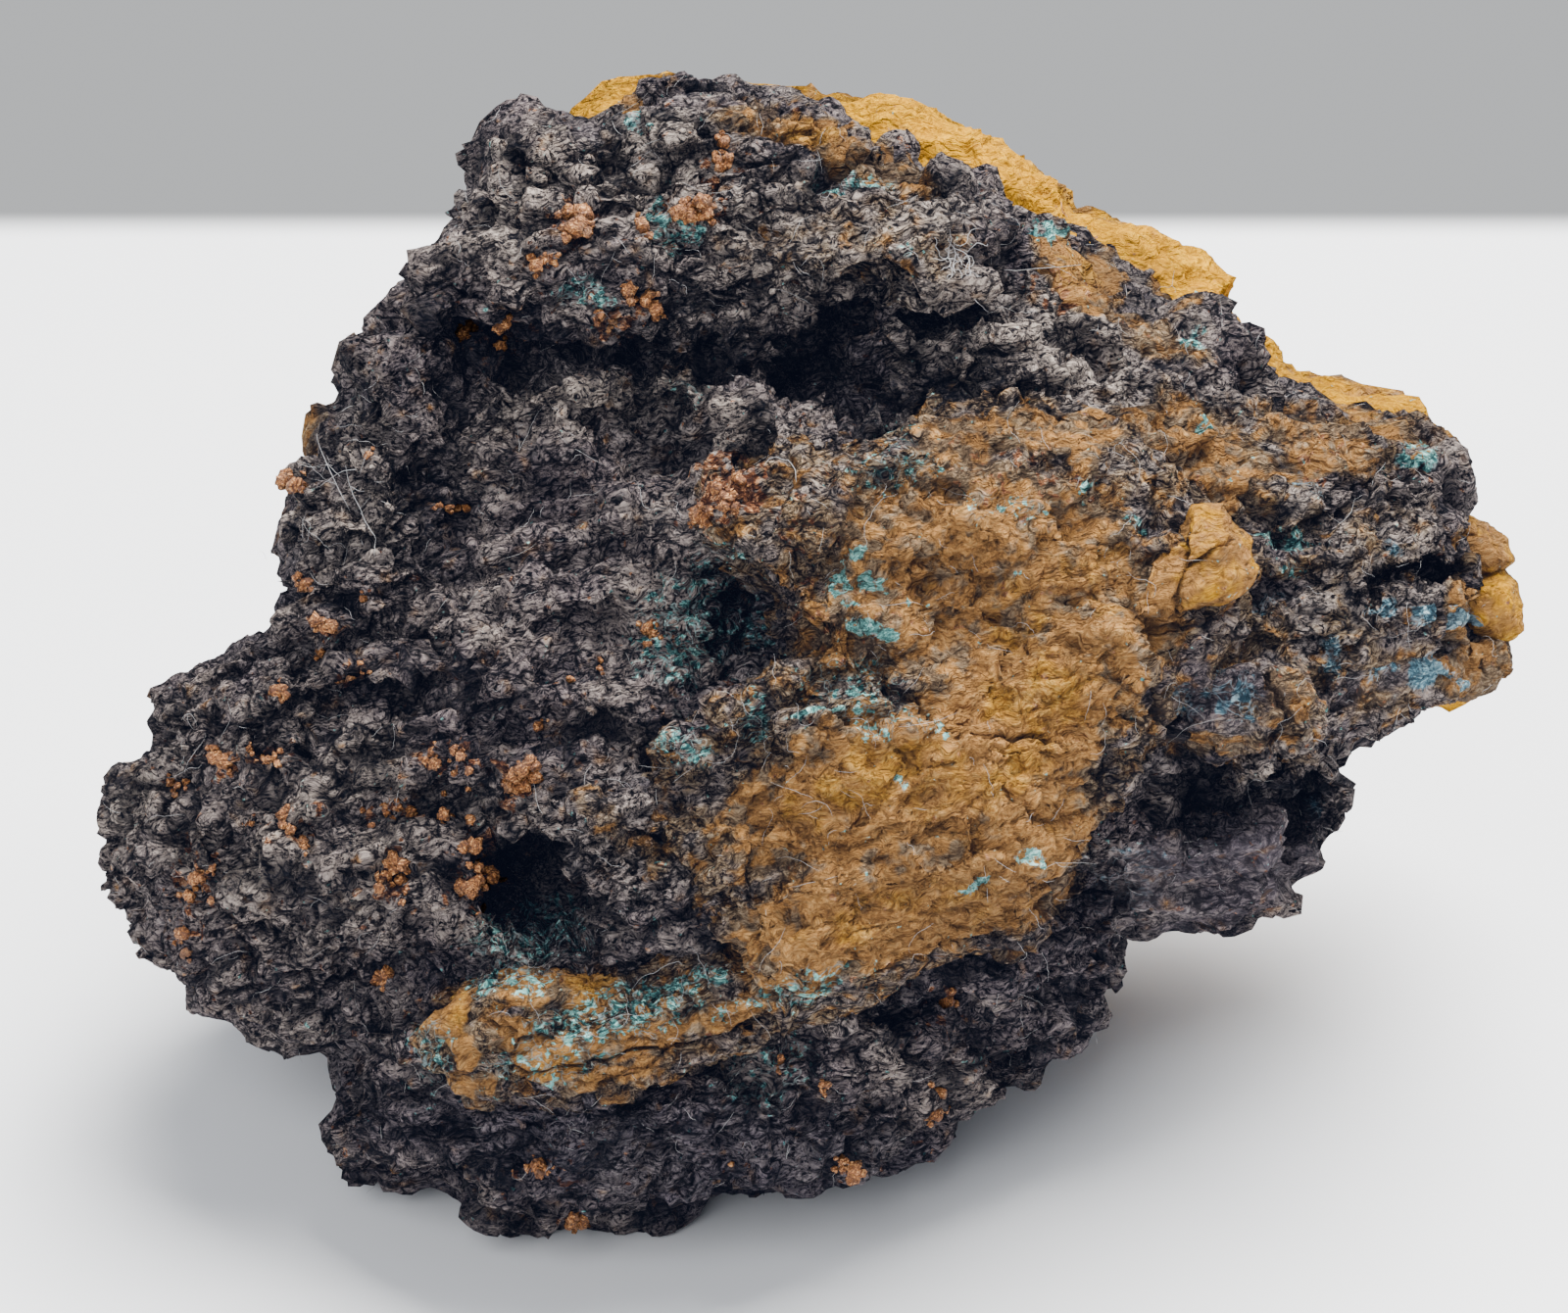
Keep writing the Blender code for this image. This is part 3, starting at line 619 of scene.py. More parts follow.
def patch_amount(seen, patches):
    """The largest amount of any patch at each point, with edges that noise moves about."""
    flat = seen[:, :2] + wander(seen, 1.7, 60.0, 90.0, PATCH_WANDER)
    amount = np.zeros(len(seen))
    for x, y, half_x, half_y, turn, most in patches:
        away = on_ellipse(flat, x, y, half_x, half_y, turn)
        amount = np.maximum(amount, most * (1 - smooth_step(0.55, 1.3, away)))
    return amount


def dust_and_painted_light_level(seen, near):
    """The oxide's paleness from dust and painted light, less painted shade: a level everywhere that slow noise
    varies, and patches on the viewer's side.
    """
    flat = seen[:, :2] + wander(seen, 2.4, 20.0, 33.0, 1.0)
    dust_and_painted_light = DUST_EVERYWHERE + 0.22 * noise(seen / 6.0 + 44.0)
    for x, y, half_x, half_y, turn, amount in DUST_AND_PAINTED_LIGHT_PATCHES:
        dust_and_painted_light += near * amount * (1 - smooth_step(0.5, 1.35, on_ellipse(flat, x, y, half_x, half_y, turn)))
    return np.clip(dust_and_painted_light, 0, 1)


def minerals(name, seen, facing):
    """The amount of every mineral, of dust with painted light and shade, and of evenness, at each point of a
    lump.

    Facing is 1 where the lump faces the viewer and -1 behind. The patches are full on the viewer's side,
    break up where the lump turns away, and give way to noise on the far side, where limonite is worn.
    """
    near = on_near_side(seen)
    far = 1 - near
    behind = smooth_step(0.0, 0.35, -facing)
    broken = smooth_step(-0.10, 0.25, layered_noise(seen / 4.0 + 81.0, 3))
    near = near * (1 - BROKEN_BESIDE * (1 - smooth_step(0.15, 0.55, facing)) * broken)
    slow = layered_noise(seen / 11.0 + 70.0, 3)
    sparse = layered_noise(seen / 3.0 + 50.0, 3)
    worn = behind * smooth_step(-0.05, 0.30, layered_noise(seen / 8.0 + 25.0, 4))
    home = HOME_OCHRE.get(name, 0.0) * (1 - 0.95 * worn)
    patches = CRUST_OCHRE if name in CRUST_LUMPS else ROCK_OCHRE
    ochre = patch_amount(seen, patches) * near + smooth_step(0.05, 0.45, slow) * 0.8 * far
    ochre = np.maximum(ochre, home * (1 + 0.18 * slow))
    bright = patch_amount(seen, BRIGHT_OCHRE_PATCHES) * near + 0.5 * far * ochre
    home_bright = HOME_BRIGHT.get(name, 0.0) * (1 - behind * smooth_step(-0.4, 0.3, slow))
    home_smooth = HOME_SMOOTH.get(name, 0.0) * (1 - behind)
    far_green = smooth_step(0.5, 0.9, sparse) * far * (1 - home)
    far_copper = smooth_step(0.55, 0.9, -sparse) * far
    return {
        "ochre": ochre,
        "bright": np.maximum(bright, home_bright),
        "smooth": np.maximum(home_smooth, patch_amount(seen, SMOOTH_PATCHES) * near),
        "dust_and_painted_light": dust_and_painted_light_level(seen, near),
        "green": patch_amount(seen, GREEN_PATCHES) * near + far_green,
        "blue": patch_amount(seen, BLUE_PATCHES) * near,
        "copper": patch_amount(seen, COPPER_STAINS) * near + far_copper,
    }


print(len(CRUST_OCHRE) + len(ROCK_OCHRE), "ochre patches")
print(len(GREEN_PATCHES), "green and", len(BLUE_PATCHES), "blue patches")

# %% [markdown]
# ## Fine relief
#
# Up close the dark oxide is heaps of curled crumbs, a quarter to one millimetre across, with black crevices
# between them. The crumbs are flakes: wider along the beds than across, with steep sides. Between them the
# beds stand out or lie back one by one, like the edges of a pile of torn paper. The ochre is finer and
# softer, and cracks run through it. The biggest cracks are drawn as bent lines, because they are where the
# eye looks first. A height along the normal can only make bumps, so the points are also dragged sideways a
# little, which curls the crumbs over. Towards a lump's rim the relief is weaker, so that its outline isn't
# a saw.

# %% Fine relief
# width along the beds, across them and towards the viewer, in millimetres
CHUNK = (4.6, 2.5, 3.8)
BIG_FLAKE = (2.1, 1.2, 1.7)
SMALL_FLAKE = (1.0, 0.65, 0.9)
CHUNK_RISE, BIG_RISE, SMALL_RISE = 0.95, 0.68, 0.26
STANDS_OUT = 0.80
FACET_TILT = 0.95
CLOSED_GAP = 0.20
BED = 1.05
CRACK_CELL = (4.2, 1.7, 2.8)
CRACK_WANDER = 0.16
CRACK_DEPTH = 0.28
DRAWN_CRACK_DEPTH = 0.42
DRAG_SIZE = 1.4
DRAG = 0.34
# lumps whose surface is calmer than the oxide's
CALM = {
    "back_crust": 0.75, "ochre_knob": 0.40, "wedge_knob": 0.45, "round_knob": 0.35, "low_knob": 0.5,
    "flake": 0.7, "tongue": 0.62, "block": 0.85, "right_end": 0.8, "brow": 0.4,
}
# degrees by which a lump's beds rise to the right, where they don't rise as the rest do
BEDS_RISE = {
    "left_lobe": 24.0, "tongue": 19.0, "chunk": 18.0, "block": 14.0, "upper_lobe": 4.0, "shoulder": 20.0,
}
RELIEF_SUNK = 0.10
RELIEF_LIMITS = (-1.5, 0.8)
# where thin beds or flat faces lie and few chunks stand out: middle and half widths in pixels, turn
LAYERED_PLACES = (
    (600, 550, 150, 150, 0), (1235, 885, 120, 60, 16), (1250, 710, 100, 60, 10), (1420, 700, 70, 40, 12),
)
# half width in millimetres, then the corners in pixels
CRACKS = (
    (0.20, ((1207, 548), (1211, 580), (1199, 612), (1203, 634))),
    (0.16, ((1211, 580), (1234, 566), (1262, 546))),
    (0.30, ((1150, 600), (1158, 628), (1190, 642), (1232, 634))),
    (0.16, ((968, 742), (1010, 752), (1066, 748), (1088, 762))),
    (0.14, ((905, 700), (936, 712), (958, 742))),
    (0.22, ((1295, 690), (1312, 730), (1292, 768))),
    (0.25, ((1190, 690), (1182, 732), (1215, 775), (1290, 800), (1372, 796))),
    (0.09, ((500, 1092), (560, 1096), (640, 1072), (740, 1060))),
    (0.10, ((660, 1112), (720, 1092), (800, 1048), (860, 1024))),
    (0.08, ((500, 1040), (530, 1062), (580, 1050), (640, 1030))),
)


def drag(seen):
    """A sideways shift from three noise fields, one for each axis."""
    fields = [noise(seen / DRAG_SIZE + shift) for shift in (130.0, 170.0, 210.0)]
    return np.stack(fields, axis=1) * DRAG


def flakes(beds, size, shift):
    """(height, crevice share) of tilted cells that stand out by their own amounts. Some gaps are closed."""
    nearest, second, own, tilt = cells(beds / size + shift)
    closed = smooth_step(-0.15, 0.30, noise(beds / size * 0.45 + shift + 9.0))
    gap = second - nearest + CLOSED_GAP * closed
    dome = 0.50 * smooth_step(0.0, 0.22, gap) + 0.14 * (0.5 - nearest**2)
    return dome + FACET_TILT * tilt + STANDS_OUT * (own - 0.5) - 0.45, 1 - smooth_step(0.03, 0.20, gap)


def torn_beds(seen, beds):
    """Each bed stands out by its own slowly changing amount, and a groove parts it from the next."""
    level = beds[:, 1] / BED + 0.9 * noise(seen / 5.0 + 8.0)
    number = np.floor(level)
    inside = level - number
    stand = noise(np.stack([beds[:, 0] / 3.2, number * 7.31, beds[:, 2] / 3.2], axis=1) + 23.0)
    groove = 1 - smooth_step(0.03, 0.20, np.minimum(inside, 1 - inside))
    return 0.75 * stand - 0.40 * groove + 0.12


def distance_to_line(flat, corners):
    """The distance in millimetres from each place to a bent line given by its corners in pixels."""
    corners = from_pixels(corners)
    nearest = np.full(len(flat), FAR_AWAY)
    for start, end in zip(corners[:-1], corners[1:]):
        way = end - start
        share = np.clip((flat - start) @ way / (way @ way), 0, 1)
        nearest = np.minimum(nearest, np.hypot(*(flat - start - share[:, None] * way).T))
    return nearest


def crack_share(seen):
    """1 along the big cracks on the viewer's side, falling to 0 a little way from them."""
    flat = seen[:, :2] + wander(seen, 0.8, 5.0, 15.0, CRACK_WANDER)
    share = np.zeros(len(seen))
    for width, corners in CRACKS:
        away = distance_to_line(flat, corners)
        share = np.maximum(share, 1 - smooth_step(0.3 * width, width, away))
    return share * smooth_step(-4.0, 0.0, seen[:, 2])


def fine_relief(name, seen, ochre, behind):
    """(height in millimetres, crevice share): chunks, flakes, torn beds and cracks, weaker where ochre."""
    turn = math.radians(BEDS_RISE.get(name, math.degrees(BEDDING_TURN)))
    beds = bedding(seen + drag(seen) * 1.5, turn)
    calm = CALM.get(name, 1.0) + (1 - CALM.get(name, 1.0)) * behind
    ochre = np.clip(ochre, 0, 1) * (1 - 0.5 * behind)
    in_places = [1 - smooth_step(0.5, 1.3, on_ellipse(seen[:, :2], *place)) for place in LAYERED_PLACES]
    layered = np.max(in_places, axis=0) * smooth_step(-4.0, 0.0, seen[:, 2])
    rough = calm * (1 - 0.60 * ochre) * (1 - 0.55 * layered)
    bent = beds + 0.7 * np.stack([noise(beds / 2.6 + shift) for shift in (300.0, 330.0, 360.0)], axis=1)
    sizes = (
        (bent, CHUNK, 57.0, CHUNK_RISE, 1.0), (beds, BIG_FLAKE, 0.0, BIG_RISE, 1.0),
        (beds, SMALL_FLAKE, 31.0, SMALL_RISE, 0.6),
    )
    relief = np.zeros(len(seen))
    crevice = np.zeros(len(seen))
    for where, size, shift, rise, darkness in sizes:
        height, gap = flakes(where, size, shift)
        relief += rough * rise * height
        crevice = np.maximum(crevice, darkness * gap)
    relief += calm * (0.34 - 0.14 * ochre + 0.10 * layered) * torn_beds(seen, beds)
    relief = np.clip(relief, *RELIEF_LIMITS)
    nearest, second, *_ = cells(beds / CRACK_CELL + 77.0)
    cracks = (1 - smooth_step(0.0, 0.10, second - nearest)) * smooth_step(0.2, 0.6, ochre) * calm
    drawn = crack_share(seen)
    crevice *= (1 - 0.80 * ochre) * (0.3 + 0.7 * calm) * (1 - 0.5 * layered)
    height = relief - CRACK_DEPTH * cracks - DRAWN_CRACK_DEPTH * drawn - RELIEF_SUNK
    return height, np.max([crevice, drawn, 0.5 * cracks], axis=0)


sample_relief, _ = fine_relief("mass", sample, 0.0, 0.0)
print("relief spreads over", np.round(np.percentile(sample_relief, (2, 50, 98)), 2).tolist(), "mm")

# %% [markdown]
# ## Making the rock pieces
#
# Each lump is one closed piece, and the pieces overlap as the real lumps do. Their points go below the
# table where the nugget was cut flat, so heights near zero are eased on to the table instead, and in the
# same way no crumb leaves the box of the CAD model. The share of triangles that each lump gets follows how
# much of it shows.

# %% Rock lumps
STEPS = {
    "mass": 124, "upper_lobe": 92, "brow": 46, "left_lobe": 90, "shoulder": 60, "block": 92,
    "tongue": 68, "right_end": 70, "flake": 38, "chunk": 46, "back_crust": 72, "ochre_knob": 32,
    "wedge_knob": 18, "round_knob": 20, "low_knob": 20,
}
BOX_EASE = 0.35
RELIEF_AT_RIM = 0.40
RELIEF_BEHIND = 0.60
CAD_LOW, CAD_HIGH = (np.array(corner) / MM for corner in cad_box)


def eased(room):
    """Distances under the ease are bent so that they come down to zero and never pass it."""
    return np.where(room < BOX_EASE, BOX_EASE * np.exp(np.minimum(room / BOX_EASE - 1, 0)), room)


def inside_box(points):
    """Points kept above the table and inside the CAD model's box, side by side."""
    return CAD_HIGH - eased(CAD_HIGH - (CAD_LOW + eased(points - CAD_LOW)))


def make_mesh(name, points, faces, attributes=None):
    """A smooth-shaded mesh object from points in millimetres, with one value a vertex for each attribute."""
    mesh = bpy.data.meshes.new(name)
    mesh.from_pydata((points * MM).tolist(), [], faces.tolist())
    mesh.shade_smooth()
    for title, values in (attributes or {}).items():
        mesh.attributes.new(title, "FLOAT", "POINT").data.foreach_set("value", values.astype(np.float32))
    made = bpy.data.objects.new(name, mesh)
    bpy.context.scene.collection.objects.link(made)
    return made


def rock_lump(name):
    """(points as seen, faces, attributes) of one lump with all its roughness."""
    directions, quads = sphere_grid(STEPS[name])
    directions = crowded_to_front(directions, 0.0 if name in SEEN_FROM_BEHIND else FRONT_BIAS)
    behind = smooth_step(0.0, 0.35, -directions[:, 2]) * (name in SEEN_FROM_BEHIND)
    seen = pebble(name, directions)
    if name in PITTED_LUMPS:
        seen[:, 2] += pit_depth(seen) * smooth_step(0.05, 0.4, directions[:, 2])
    seen += vertex_normals(seen, quads) * (roughness(seen) * ROUGHNESS_SHARE.get(name, 1.0))[:, None]
    amounts = minerals(name, seen, directions[:, 2])
    facing = np.maximum(smooth_step(-0.2, 0.5, directions[:, 2]), RELIEF_BEHIND * behind)
    rim = RELIEF_AT_RIM + (1 - RELIEF_AT_RIM) * facing
    relief, crevice = fine_relief(name, seen, amounts["ochre"], behind)
    # painted shade in the crevices and cracks, and dirt in the dirt patches
    amounts["crevice"] = np.maximum(crevice, patch_amount(seen, DIRT_PATCHES) * (1 - behind))
    dragged = drag(seen) * (rim * CALM.get(name, 1.0))[:, None]
    seen += vertex_normals(seen, quads) * (relief * rim)[:, None] + dragged
    return seen, quads, amounts


lumps = {name: rock_lump(name) for name in LUMPS}
print(len(lumps), "lumps,", 2 * sum(len(quads) for _, quads, _ in lumps.values()), "triangles")

# %% [markdown]
# ## Finding the surface and its hollows
#
# Painted shade darkens the hollows, and grains and fibres lie on whatever lump is in front. A map of the
# nearest depth answers both: the picture is split into small squares, each keeps the depth of its nearest
# point, and empty squares take their neighbours' depth. A point is in a hollow if the rock is nearer on
# both sides of it. On a plain slope one side is always further away, so slopes and rims don't count.

# %% Depth map and hollows
DEPTH_SQUARE = 0.25
DEPTH_HALF = 42.0
DEPTH_COUNT = int(2 * DEPTH_HALF / DEPTH_SQUARE)
NOTHING = -60.0
# grains and fibres further away than this would hang in the air behind the rim
ROCK_NEARER_THAN = -12.0
# how far to look to each side in millimetres, the rise that counts as full, and the weight
HOLLOW_REACHES = ((0.5, 0.45, 0.50), (1.0, 0.9, 0.60), (2.2, 2.0, 0.8), (3.6, 3.6, 1.0))
# how much of the painted hollow shade each lump takes
HOLLOW_SHARE = {
    "mass": 0.7, "brow": 0.1, "back_crust": 0.4, "block": 0.45, "tongue": 0.5, "left_lobe": 0.8,
    "upper_lobe": 0.8,
}


def depth_squares(flat):
    """The square of the depth map under each place, as two whole numbers."""
    return np.clip(((flat + DEPTH_HALF) / DEPTH_SQUARE).astype(int), 0, DEPTH_COUNT - 1).T


def depth_map(seen):
    """The largest depth in each square of the picture. An empty square takes the most of those around it."""
    nearest = np.full((DEPTH_COUNT, DEPTH_COUNT), NOTHING)
    np.maximum.at(nearest, tuple(depth_squares(seen[:, :2])), seen[:, 2])
    shifts = itertools.product((-1, 0, 1), repeat=2)
    around = np.max([np.roll(nearest, shift, (0, 1)) for shift in shifts], axis=0)
    return np.where(nearest > NOTHING, nearest, around)


NEAREST = depth_map(np.concatenate([seen for seen, _, _ in lumps.values()]))


def surface_depth(flat):
    """The depth of the rock that the viewer sees at each place."""
    x, y = depth_squares(flat)
    return NEAREST[x, y]


def hollowness(seen):
    """The most of any reach and direction: the lower of the two sides' depths less the point's own depth."""
    hollow = np.zeros(len(seen))
    for reach, full, weight in HOLLOW_REACHES:
        for turn in np.radians((0, 45, 90, 135)):
            step = reach * np.array([math.cos(turn), math.sin(turn)])
            sides = np.minimum(surface_depth(seen[:, :2] + step), surface_depth(seen[:, :2] - step))
            hollow = np.maximum(hollow, weight * np.clip((sides - seen[:, 2]) / full, 0, 1))
    return hollow


depths = NEAREST[NEAREST > NOTHING]
print("depths run from", round(float(depths.min()), 1), "to", round(float(depths.max()), 1), "mm")

# %% Build the rock pieces
rock_pieces = {}
for name, (seen, quads, amounts) in lumps.items():
    # painted shade: the shaded patches, mostly low down, join the painted shade of the hollows
    shaded = patch_amount(seen, SHADED_PATCHES) * on_near_side(seen)
    amounts["hollow"] = np.maximum(hollowness(seen) * HOLLOW_SHARE.get(name, 1.0), shaded)
    rock_pieces[name] = make_mesh("rock_" + name, inside_box(to_nugget(seen)), quads, amounts)
print(len(rock_pieces), "rock pieces")

# %% [markdown]
# ## Native copper grains
#
# The copper stands out as small knobbly grains in clusters, like caramel crumbs, and each has a smaller one
# beside it. Each is a tiny sphere pushed in and out by noise and half sunk in the rock. All the grains are
# one joined mesh, because hundreds of separate objects would be slow and could not be told apart anyway.

# %% Copper grains
# middle and spread in pixels, number of grains, usual half width in pixels
COPPER_GROUPS = (
    (585, 226, 9, 9, 4, 12), (556, 262, 12, 8, 4, 8), (476, 346, 10, 10, 4, 8), (510, 338, 10, 14, 4, 7),
    (616, 330, 12, 8, 5, 8), (657, 306, 14, 9, 6, 9), (706, 216, 16, 9, 7, 9), (737, 168, 6, 20, 5, 8),
    (655, 228, 5, 5, 2, 8), (293, 490, 17, 5, 5, 11), (380, 470, 4, 4, 1, 8), (462, 519, 12, 3, 3, 7),
    (306, 595, 8, 5, 2, 8), (370, 612, 4, 4, 1, 8), (336, 638, 11, 4, 3, 8), (440, 660, 4, 4, 1, 8),
    (325, 665, 3, 3, 1, 6), (367, 686, 7, 7, 3, 9), (290, 708, 7, 7, 3, 9), (345, 690, 3, 3, 1, 6),
    (223, 773, 7, 7, 3, 9), (268, 774, 15, 9, 7, 7), (182, 805, 7, 7, 3, 6), (255, 840, 3, 3, 1, 6),
    (292, 835, 9, 12, 4, 9), (306, 860, 9, 5, 3, 6), (200, 900, 15, 13, 7, 8), (187, 963, 3, 9, 3, 8),
    (399, 892, 11, 16, 8, 10), (402, 827, 24, 7, 6, 8), (453, 828, 5, 11, 3, 8), (485, 825, 3, 3, 1, 9),
    (486, 885, 13, 19, 9, 10), (490, 925, 3, 3, 1, 8), (450, 772, 14, 10, 5, 8), (472, 788, 6, 14, 3, 7),
    (524, 798, 12, 11, 5, 11), (544, 776, 3, 3, 1, 8), (535, 690, 3, 3, 1, 7), (552, 688, 3, 3, 1, 7),
    (585, 690, 4, 4, 1, 7), (610, 680, 4, 4, 2, 5), (390, 998, 8, 5, 4, 9), (740, 503, 14, 18, 13, 8),
    (717, 527, 9, 6, 6, 8), (664, 648, 5, 9, 3, 9), (560, 743, 10, 3, 2, 6), (590, 1247, 6, 5, 3, 9),
    (542, 1194, 24, 5, 6, 9), (965, 1022, 4, 8, 3, 8), (842, 1108, 5, 4, 2, 7), (960, 1110, 6, 5, 2, 8),
    (950, 1138, 5, 4, 2, 8), (796, 1082, 3, 10, 3, 6), (1010, 1080, 4, 4, 1, 5), (745, 1190, 4, 4, 1, 6),
    (863, 1193, 10, 8, 4, 8),
)
GRAIN_STEPS = 3
GRAINS_SHARE = 1.35
GRAIN_SEED = 12
GRAIN_SUNK = 0.15


def grain_table():
    """One row a grain: right, up and depth in millimetres, and its radius."""
    random = np.random.default_rng(GRAIN_SEED)
    counts = [round(group[4] * GRAINS_SHARE) for group in COPPER_GROUPS]
    x, y, spread_x, spread_y, _, half_width = np.repeat(np.array(COPPER_GROUPS, float), counts, axis=0).T
    spread = np.stack([spread_x, spread_y], axis=1) * 0.8
    offset = np.clip(random.normal(size=(len(x), 2)), -1.4, 1.4) * spread
    flat = from_pixels(np.stack([x, y], axis=1) + offset)
    radius = half_width * random.uniform(0.50, 0.95, len(x)) * MM_PER_PIXEL
    crumb_way = random.uniform(0, 2 * math.pi, len(x))
    beside = flat + np.stack([np.cos(crumb_way), np.sin(crumb_way)], axis=1) * (radius * 1.5)[:, None]
    flat = np.concatenate([flat, beside])
    radius = np.concatenate([radius, radius * random.uniform(0.35, 0.7, len(x))])
    depth = surface_depth(flat)
    return np.column_stack([flat, depth - GRAIN_SUNK * radius, radius])[depth > ROCK_NEARER_THAN]


def grain_mesh(table, steps):
    """All grains at once: sphere directions times a radius that noise makes knobbly, moved to each place."""
    directions, quads = sphere_grid(steps)
    places, radius = table[:, None, :3], table[:, None, 3:]
    field = (directions[None] * 1.7 + places * 3.0).reshape(-1, 3)
    knobbly = (1 + 0.62 * noise(field) + 0.34 * noise(field * 2.3)).reshape(len(table), -1, 1)
    points = (places + directions[None] * radius * knobbly).reshape(-1, 3)
    faces = (quads[None] + (np.arange(len(table)) * len(directions))[:, None, None]).reshape(-1, 4)
    return points, faces


grains = grain_table()
grain_points, grain_faces = grain_mesh(grains, GRAIN_STEPS)
copper_grains = make_mesh("copper_grains", inside_box(to_nugget(grain_points)), grain_faces)
print(len(grains), "copper grains,", 2 * len(grain_faces), "triangles")

# %% [markdown]
# ## Lint
#
# The rough rock has caught fluff: short grey fibres that cling everywhere, a few long hairs on the left and
# a small white tuft below the top. A fibre is a thin tube carried along a wandering path, and each path
# keeps just above the surface under it. Three sides are enough for a tube thinner than a hair.

# %% Lint fibres
LINT_SEED = 33
LONG_FIBRE_RADIUS = 0.019
SHORT_FIBRE_RADIUS = 0.008
LINT_POINTS = 14
TUBE_SIDES = 3
SHORT_FIBRES = 560
FIBRE_LIFT = 0.10
# start in pixels, direction in degrees, length in millimetres, curl
LONG_FIBRES = (
    (322, 436, -78, 4.2, 0.10), (330, 470, -20, 2.6, 0.30), (318, 500, 30, 3.0, 0.25),
    (352, 470, -80, 3.2, 0.15),
    (366, 520, -70, 2.4, 0.20), (340, 430, 70, 2.0, 0.30), (300, 470, -40, 2.4, 0.30),
    (972, 250, -50, 1.6, 0.8), (976, 262, 40, 1.8, 0.9), (984, 254, -80, 1.4, 0.9),
    (980, 270, 10, 1.6, 0.9),
    (990, 262, 120, 1.8, 0.9), (970, 270, 80, 1.5, 0.9), (985, 276, -20, 2.4, 0.5),
    (1000, 274, -4, 4.6, 0.10),
    (970, 246, -70, 1.8, 0.5), (968, 250, -60, 2.0, 0.6), (975, 256, -40, 2.2, 0.7),
    (980, 262, -70, 1.6, 0.8),
    (966, 240, -60, 2.2, 0.4), (974, 244, -50, 2.0, 0.6), (986, 268, 160, 1.6, 0.8),
    (992, 280, -30, 2.0, 0.6),
    (1110, 360, -30, 3.0, 0.3), (780, 480, 100, 2.6, 0.4), (1030, 330, 60, 2.2, 0.4),
    (640, 1010, 20, 3.0, 0.4),
)


def fibre_starts():
    """One row a fibre: start, heading, length, curl and radius. The short ones are at random."""
    random = np.random.default_rng(LINT_SEED)
    long = np.column_stack([LONG_FIBRES, np.full(len(LONG_FIBRES), LONG_FIBRE_RADIUS)])
    spots = random.uniform((110, 90), (1530, 1230), (SHORT_FIBRES * 2, 2))
    on_rock = surface_depth(from_pixels(spots)) > ROCK_NEARER_THAN
    spots = spots[on_rock][:SHORT_FIBRES]
    many = len(spots)
    heading, length = random.uniform(0, 360, many), random.gamma(3.0, 0.42, many)
    curl = random.uniform(0.1, 0.5, many)
    short = np.column_stack([spots, heading, length, curl, np.full(many, SHORT_FIBRE_RADIUS)])
    return np.concatenate([long, short])


def fibre_paths(starts):
    """(paths, radii) of those that stay on the rock: headings add up turns, and points add up steps."""
    random = np.random.default_rng(LINT_SEED + 1)
    turns = random.normal(size=(len(starts), LINT_POINTS)) * starts[:, 4:5] * 0.9
    heading = np.radians(starts[:, 2:3]) + np.cumsum(turns, axis=1)
    step = starts[:, 3:4] / LINT_POINTS
    flat = np.stack([np.cumsum(np.cos(heading) * step, 1), np.cumsum(np.sin(heading) * step, 1)], axis=2)
    flat += from_pixels(starts[:, :2])[:, None]
    depth = surface_depth(flat.reshape(-1, 2)).reshape(len(starts), LINT_POINTS)
    on_rock = depth.min(axis=1) > ROCK_NEARER_THAN
    usual = np.median(depth, axis=1, keepdims=True)
    depth = np.clip(depth, usual - 0.6, usual + 1.2)
    kernel = np.array([0.25, 0.5, 0.25])
    padded = np.pad(depth, ((0, 0), (1, 1)), mode="edge")
    depth = sum(padded[:, k : k + LINT_POINTS] * kernel[k] for k in range(3))
    arch = random.random((len(starts), 1)) * np.sin(np.linspace(0, math.pi, LINT_POINTS))
    lift = FIBRE_LIFT + 0.16 * arch
    return np.concatenate([flat, (depth + lift)[..., None]], axis=2)[on_rock], starts[on_rock, 5]


def tubes(paths, radii):
    """Closed tubes: at each path point a ring in the plane across the path, tapering to the ends."""
    along = np.gradient(paths, axis=1)
    along /= np.linalg.norm(along, axis=2, keepdims=True)
    side = np.cross(along, (0.3, 0.2, 0.93))
    side /= np.linalg.norm(side, axis=2, keepdims=True)
    other = np.cross(along, side)
    turn = np.arange(TUBE_SIDES) * 2 * math.pi / TUBE_SIDES
    half_turn = np.linspace(0.08, math.pi - 0.08, paths.shape[1])
    taper = radii[:, None] * np.sqrt(np.clip(np.sin(half_turn), 0.2, 1))
    ring = np.cos(turn)[:, None] * side[:, :, None] + np.sin(turn)[:, None] * other[:, :, None]
    points = paths[:, :, None] + ring * taper[:, :, None, None]
    count, length = paths.shape[:2]
    step = np.arange(length - 1)[:, None] * TUBE_SIDES
    here, following = np.arange(TUBE_SIDES), (np.arange(TUBE_SIDES) + 1) % TUBE_SIDES
    beyond = step + TUBE_SIDES
    wall = np.stack([step + here, step + following, beyond + following, beyond + here], axis=2)
    walls = (wall.reshape(1, -1, 4) + (np.arange(count) * length * TUBE_SIDES)[:, None, None]).reshape(-1, 4)
    first = np.arange(count)[:, None] * length * TUBE_SIDES
    last = first + (length - 1) * TUBE_SIDES
    ends = np.concatenate([first + here[::-1], last + here])
    return points.reshape(-1, 3), walls.tolist() + ends.tolist()


lint_points, lint_faces = tubes(*fibre_paths(fibre_starts()))
lint_mesh = bpy.data.meshes.new("lint")
lint_mesh.from_pydata((inside_box(to_nugget(lint_points)) * MM).tolist(), [], lint_faces)
lint_mesh.shade_smooth()
lint = bpy.data.objects.new("lint", lint_mesh)
bpy.context.scene.collection.objects.link(lint)
print(len(lint_faces), "lint faces")

# %% [markdown]
# ## Node helpers
#
# A material is a graph of nodes. These few helpers add a node, set its inputs and join it, so that the
# graphs below read from top to bottom. Colours are given as they look on a screen and are changed to light
# amounts.

